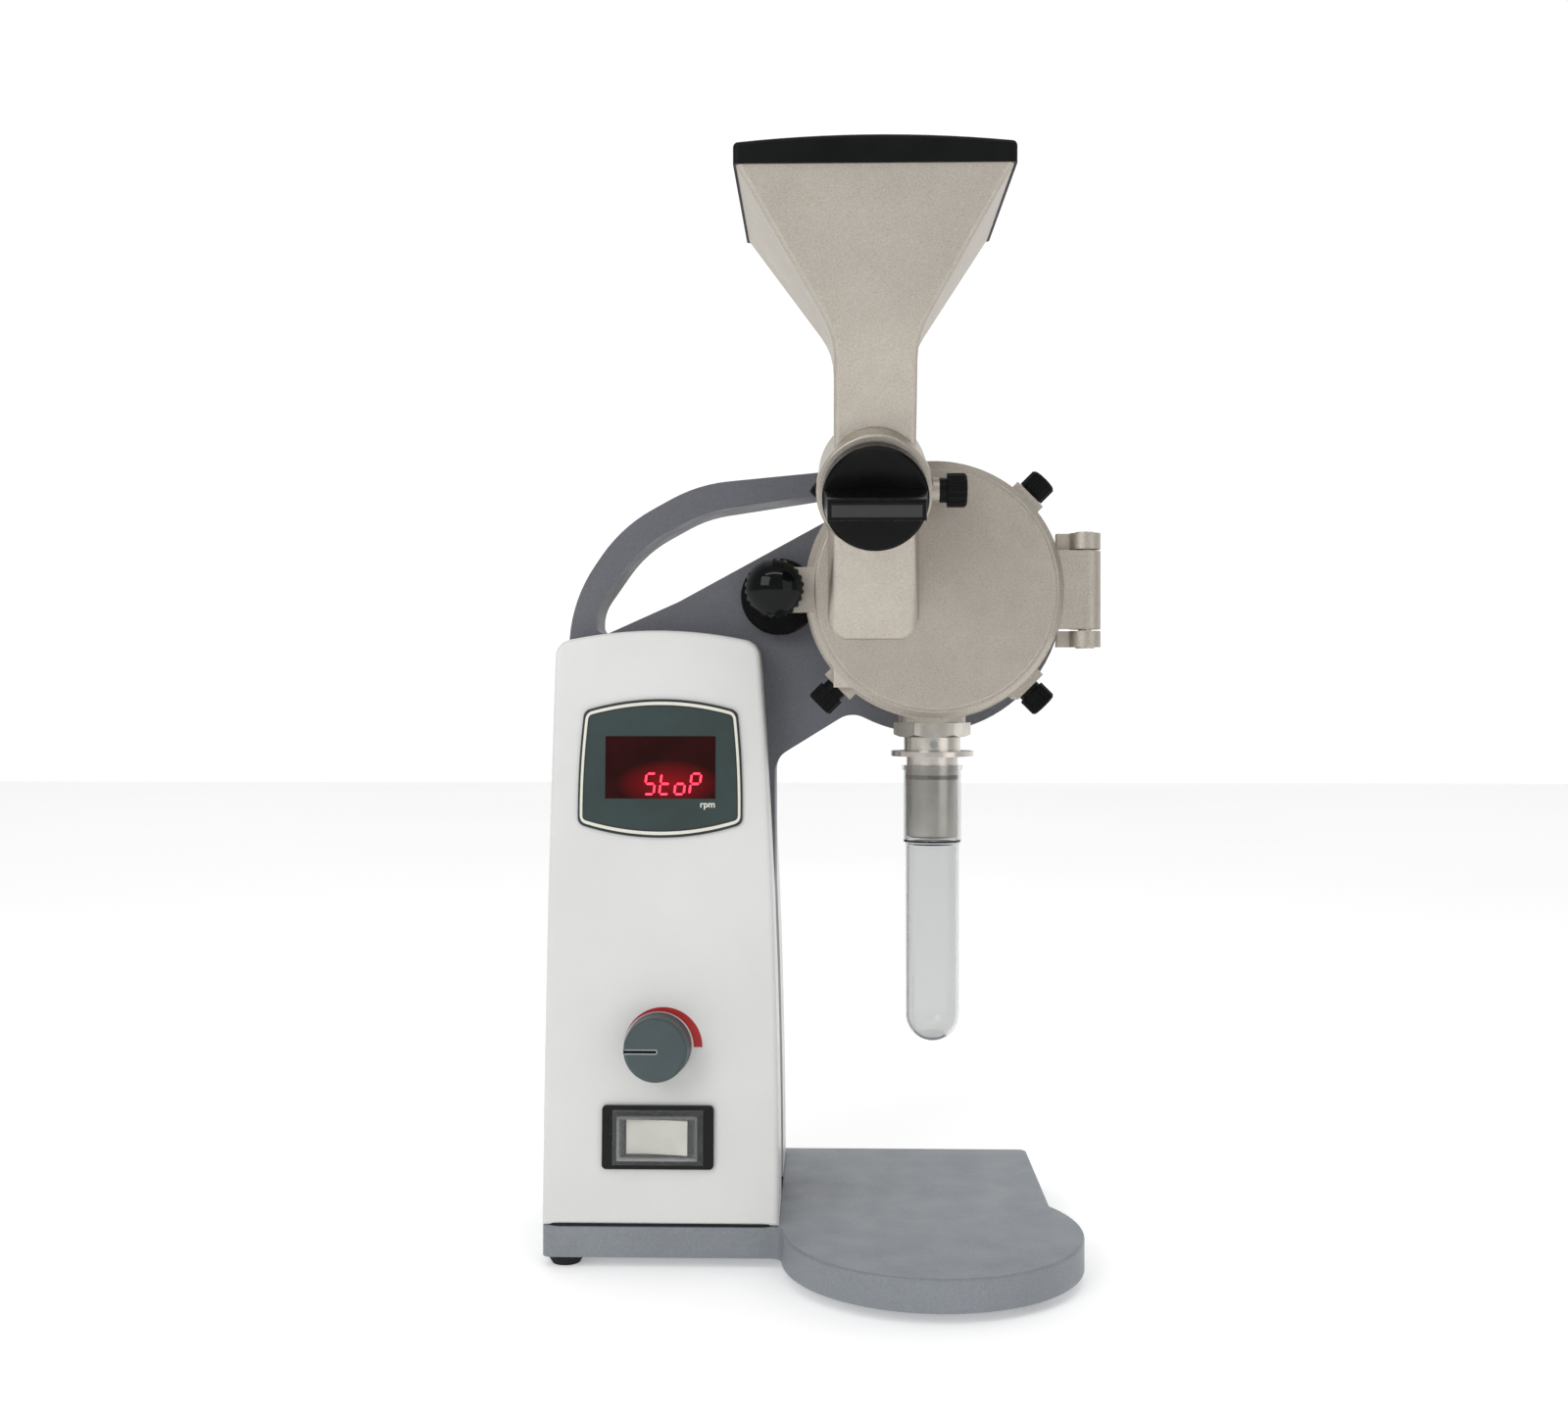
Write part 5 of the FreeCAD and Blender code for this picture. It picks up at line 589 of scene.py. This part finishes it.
# the cover's raised face, whose edge draws the line inside its rim
coverFace = {"radius": 53.6, "proud": 0.9, "edge": 0.7, "segments": 128, "steps": 3, "sharpDegrees": 60}
shape = bmesh.new()
bmesh.ops.create_cone(shape, cap_ends=True, segments=coverFace["segments"], radius1=coverFace["radius"] * mm,
                      radius2=coverFace["radius"] * mm, depth=coverFace["proud"] * 2 * mm)
softened(shape, coverFace["edge"] * mm, coverFace["steps"], coverFace["sharpDegrees"])
middle = Vector((casting["axisX"], casting["coverFront"], casting["axisHeight"])) * mm
shape.transform(Matrix.Translation(middle) @ Matrix.Rotation(math.radians(90), 4, "X"))
solidPiece("cover_face", shape, castAluminium, "cover")

# drafted flanks of the chute where it grows out of the cover, drawn in towards the lower corners
chuteFlank = {
    "front": 17.3, "base": 20.4, "root": -75.5, "low": 288.6, "high": 344, "corner": 5.5, "cornerRise": 2,
    "cornerTuck": 1.6, "footRise": 1.5, "proud": 1.2, "round": 1.7,
}
levels = [
    (chuteFlank["low"], chuteFlank["corner"]),
    (chuteFlank["low"] + chuteFlank["cornerRise"], chuteFlank["cornerTuck"]),
    (chuteFlank["low"] + chuteFlank["corner"], 0),
    (chuteFlank["high"], 0),
]
points = []
for side in (-1, 1):
    for height, tuck in levels:
        depth = chuteFace(max(height, casting["chuteFoot"] + chuteFlank["footRise"]), chuteFlank["proud"])
        points.append((casting["chuteX"] + side * (chuteFlank["front"] - tuck), depth, height))
        points.append((casting["chuteX"] + side * (chuteFlank["base"] - tuck), chuteFlank["root"], height))
hullPiece("chute_flanks", points, chuteFlank["round"])

# the boss swells up round the neck in an arch
bossFlare = {
    "radius": 25.3, "front": -0.7, "frontTuck": 0.6, "shoulder": 1.4, "back": -13, "ringSteps": 48,
    "archRadius": 21.2, "archHeight": 357.6, "archProud": 0.8, "archDeep": 11, "archDegrees": 20,
    "archSpanDegrees": 140, "archSteps": 16, "round": 1.1,
}
rings = [
    (bossFlare["front"], bossFlare["frontTuck"]), (bossFlare["front"] - bossFlare["shoulder"], 0),
    (bossFlare["back"], 0),
]
points = []
for i in range(bossFlare["ringSteps"]):
    turn = 2 * math.pi * i / bossFlare["ringSteps"]
    for out, tuck in rings:
        radius = bossFlare["radius"] - tuck
        points.append(bossSpot(radius * math.cos(turn), radius * math.sin(turn), out))
for i in range(bossFlare["archSteps"] + 1):
    turn = math.radians(bossFlare["archDegrees"] + bossFlare["archSpanDegrees"] * i / bossFlare["archSteps"])
    x = casting["chuteX"] + bossFlare["archRadius"] * math.cos(turn)
    z = bossFlare["archHeight"] + bossFlare["archRadius"] * math.sin(turn)
    for proud in (bossFlare["archProud"], -bossFlare["archDeep"]):
        points.append((x, chuteFace(z, proud), z))
hullPiece("boss_flare", points, bossFlare["round"])

# rounded cap along the feed knob's bar, polished by hands, so its upper edge catches the light
gripCap = {"front": 31.75, "deep": 4.5, "long": 41.4, "tall": 9.5, "round": 3.2, "steps": 6}
shape = block(gripCap["long"], gripCap["tall"], gripCap["deep"])
frontEdges = [edge for edge in shape.edges if all(vert.co.z > 0 for vert in edge.verts)]
rounded(shape, frontEdges, gripCap["round"], gripCap["steps"])
middle = Vector(bossSpot(0, 0, gripCap["front"] - gripCap["deep"] / 2))
shape.transform(Matrix.Scale(mm, 4) @ Matrix.Translation(middle)
                @ Matrix.Rotation(math.radians(90 + casting["leanDegrees"]), 4, "X"))
solidPiece("grip_cap", shape, gripAbs, "feed")

# thin black sheet under the housing, painted shade: its front edge draws the shadow in the seam between housing and
# base as a dark line on the base
seamShade = {
    "left": -127.0, "right": -17.6, "front": -50.0, "back": 83.8, "bottom": 19.5, "tall": 1.1, "proud": 0.12,
    "corner": 8, "steps": 8,
}
shape = block(seamShade["right"] - seamShade["left"], seamShade["back"] - seamShade["front"] + seamShade["proud"] * 2, seamShade["tall"])
bmesh.ops.translate(shape, verts=shape.verts, vec=(
    (seamShade["right"] + seamShade["left"]) / 2, (seamShade["back"] + seamShade["front"]) / 2, seamShade["bottom"] + seamShade["tall"] / 2))
upright = [edge for edge in shape.edges if abs(edge.verts[0].co.z - edge.verts[1].co.z) > seamShade["tall"] / 2]
rounded(shape, upright, seamShade["corner"], seamShade["steps"])
shape.transform(Matrix.Scale(mm, 4))
solidPiece("housing_seam_painted_shade", shape, footRubber, "frame")
print("casting and seal pieces done")


# Stage, lights and camera

# a pale floor that gives off a little light of its own, so that it stays white
ground = {"size": 4, "squares": 4, "dark": "#fbfbfb", "light": "#ffffff", "driftMm": 900}
floorMaterial, floorShader, floorPlace = newMaterial("pale_floor", {
    "Roughness": 0.7, "Specular IOR Level": 0.1, "Emission Color": colour("#ffffff"), "Emission Strength": 0.3})
tint(floorMaterial, floorShader, floorPlace, ground)
floorShape = bmesh.new()
bmesh.ops.create_grid(floorShape, x_segments=ground["squares"], y_segments=ground["squares"], size=ground["size"])
floorMesh = bpy.data.meshes.new("floor")
floorShape.to_mesh(floorMesh)
floorShape.free()
floor = bpy.data.objects.new("floor", floorMesh)
scene.collection.objects.link(floor)
floorMesh.materials.append(floorMaterial)

# a white sweep behind the object and a dimmer room in front of it, so that dark gloss stays dark
sweep = {"front": 0.34, "behind": 1.08, "from": -0.3, "to": 0.75}
world = bpy.data.worlds.new("studio")
world.use_nodes = True
backdrop = world.node_tree.nodes["Background"]
backdrop.inputs["Color"].default_value = (1.0, 1.0, 1.0, 1.0)
direction = addNode(world, "ShaderNodeTexCoord").outputs["Generated"]
axes = addNode(world, "ShaderNodeSeparateXYZ", None, {"Vector": direction})
level = addNode(world, "ShaderNodeMapRange", {
    "interpolation_type": "SMOOTHSTEP", "From Min": sweep["from"], "From Max": sweep["to"],
    "To Min": sweep["front"], "To Max": sweep["behind"]}, {"Value": axes.outputs["Y"]})
world.node_tree.links.new(level.outputs["Result"], backdrop.inputs["Strength"])
scene.world = world

aim = Vector((0, 0, 0.25))
softboxes = [
    {"name": "key", "place": (-1.2, -1.8, 1.25), "wide": 1.2, "tall": 1.2, "power": 15},
    {"name": "fill", "place": (1.5, -1.5, 0.7), "wide": 1.3, "tall": 1.3, "power": 4.5},
    {"name": "top", "place": (0.1, 0.3, 2.2), "wide": 1.6, "tall": 1.6, "power": 2},
    {"name": "strip", "place": (0.05, -0.95, 1.5), "wide": 1.7, "tall": 0.16, "power": 4},
]
for box in softboxes:
    lamp = bpy.data.lights.new(box["name"], "AREA")
    lamp.shape = "RECTANGLE"
    lamp.size = box["wide"]
    lamp.size_y = box["tall"]
    lamp.energy = box["power"]
    light = bpy.data.objects.new(box["name"], lamp)
    light.location = box["place"]
    light.rotation_euler = (aim - Vector(box["place"])).to_track_quat("-Z", "Y").to_euler()
    scene.collection.objects.link(light)

view = {
    "place": (0.005, -0.8506, 0.2682), "tiltDegrees": 90, "yawDegrees": 1.45, "lens": 40.03, "sensor": 36,
    "shiftY": -0.0144, "near": 0.01, "far": 50,
}
camera = bpy.data.objects.new("camera", bpy.data.cameras.new("camera"))
camera.location = view["place"]
camera.rotation_euler = (math.radians(view["tiltDegrees"]), 0, math.radians(view["yawDegrees"]))
camera.data.lens = view["lens"]
camera.data.sensor_width = view["sensor"]
camera.data.shift_y = view["shiftY"]
camera.data.clip_start = view["near"]
camera.data.clip_end = view["far"]
scene.collection.objects.link(camera)
scene.camera = camera
scene.view_settings.view_transform = "Standard"
print("stage, lights and camera done")
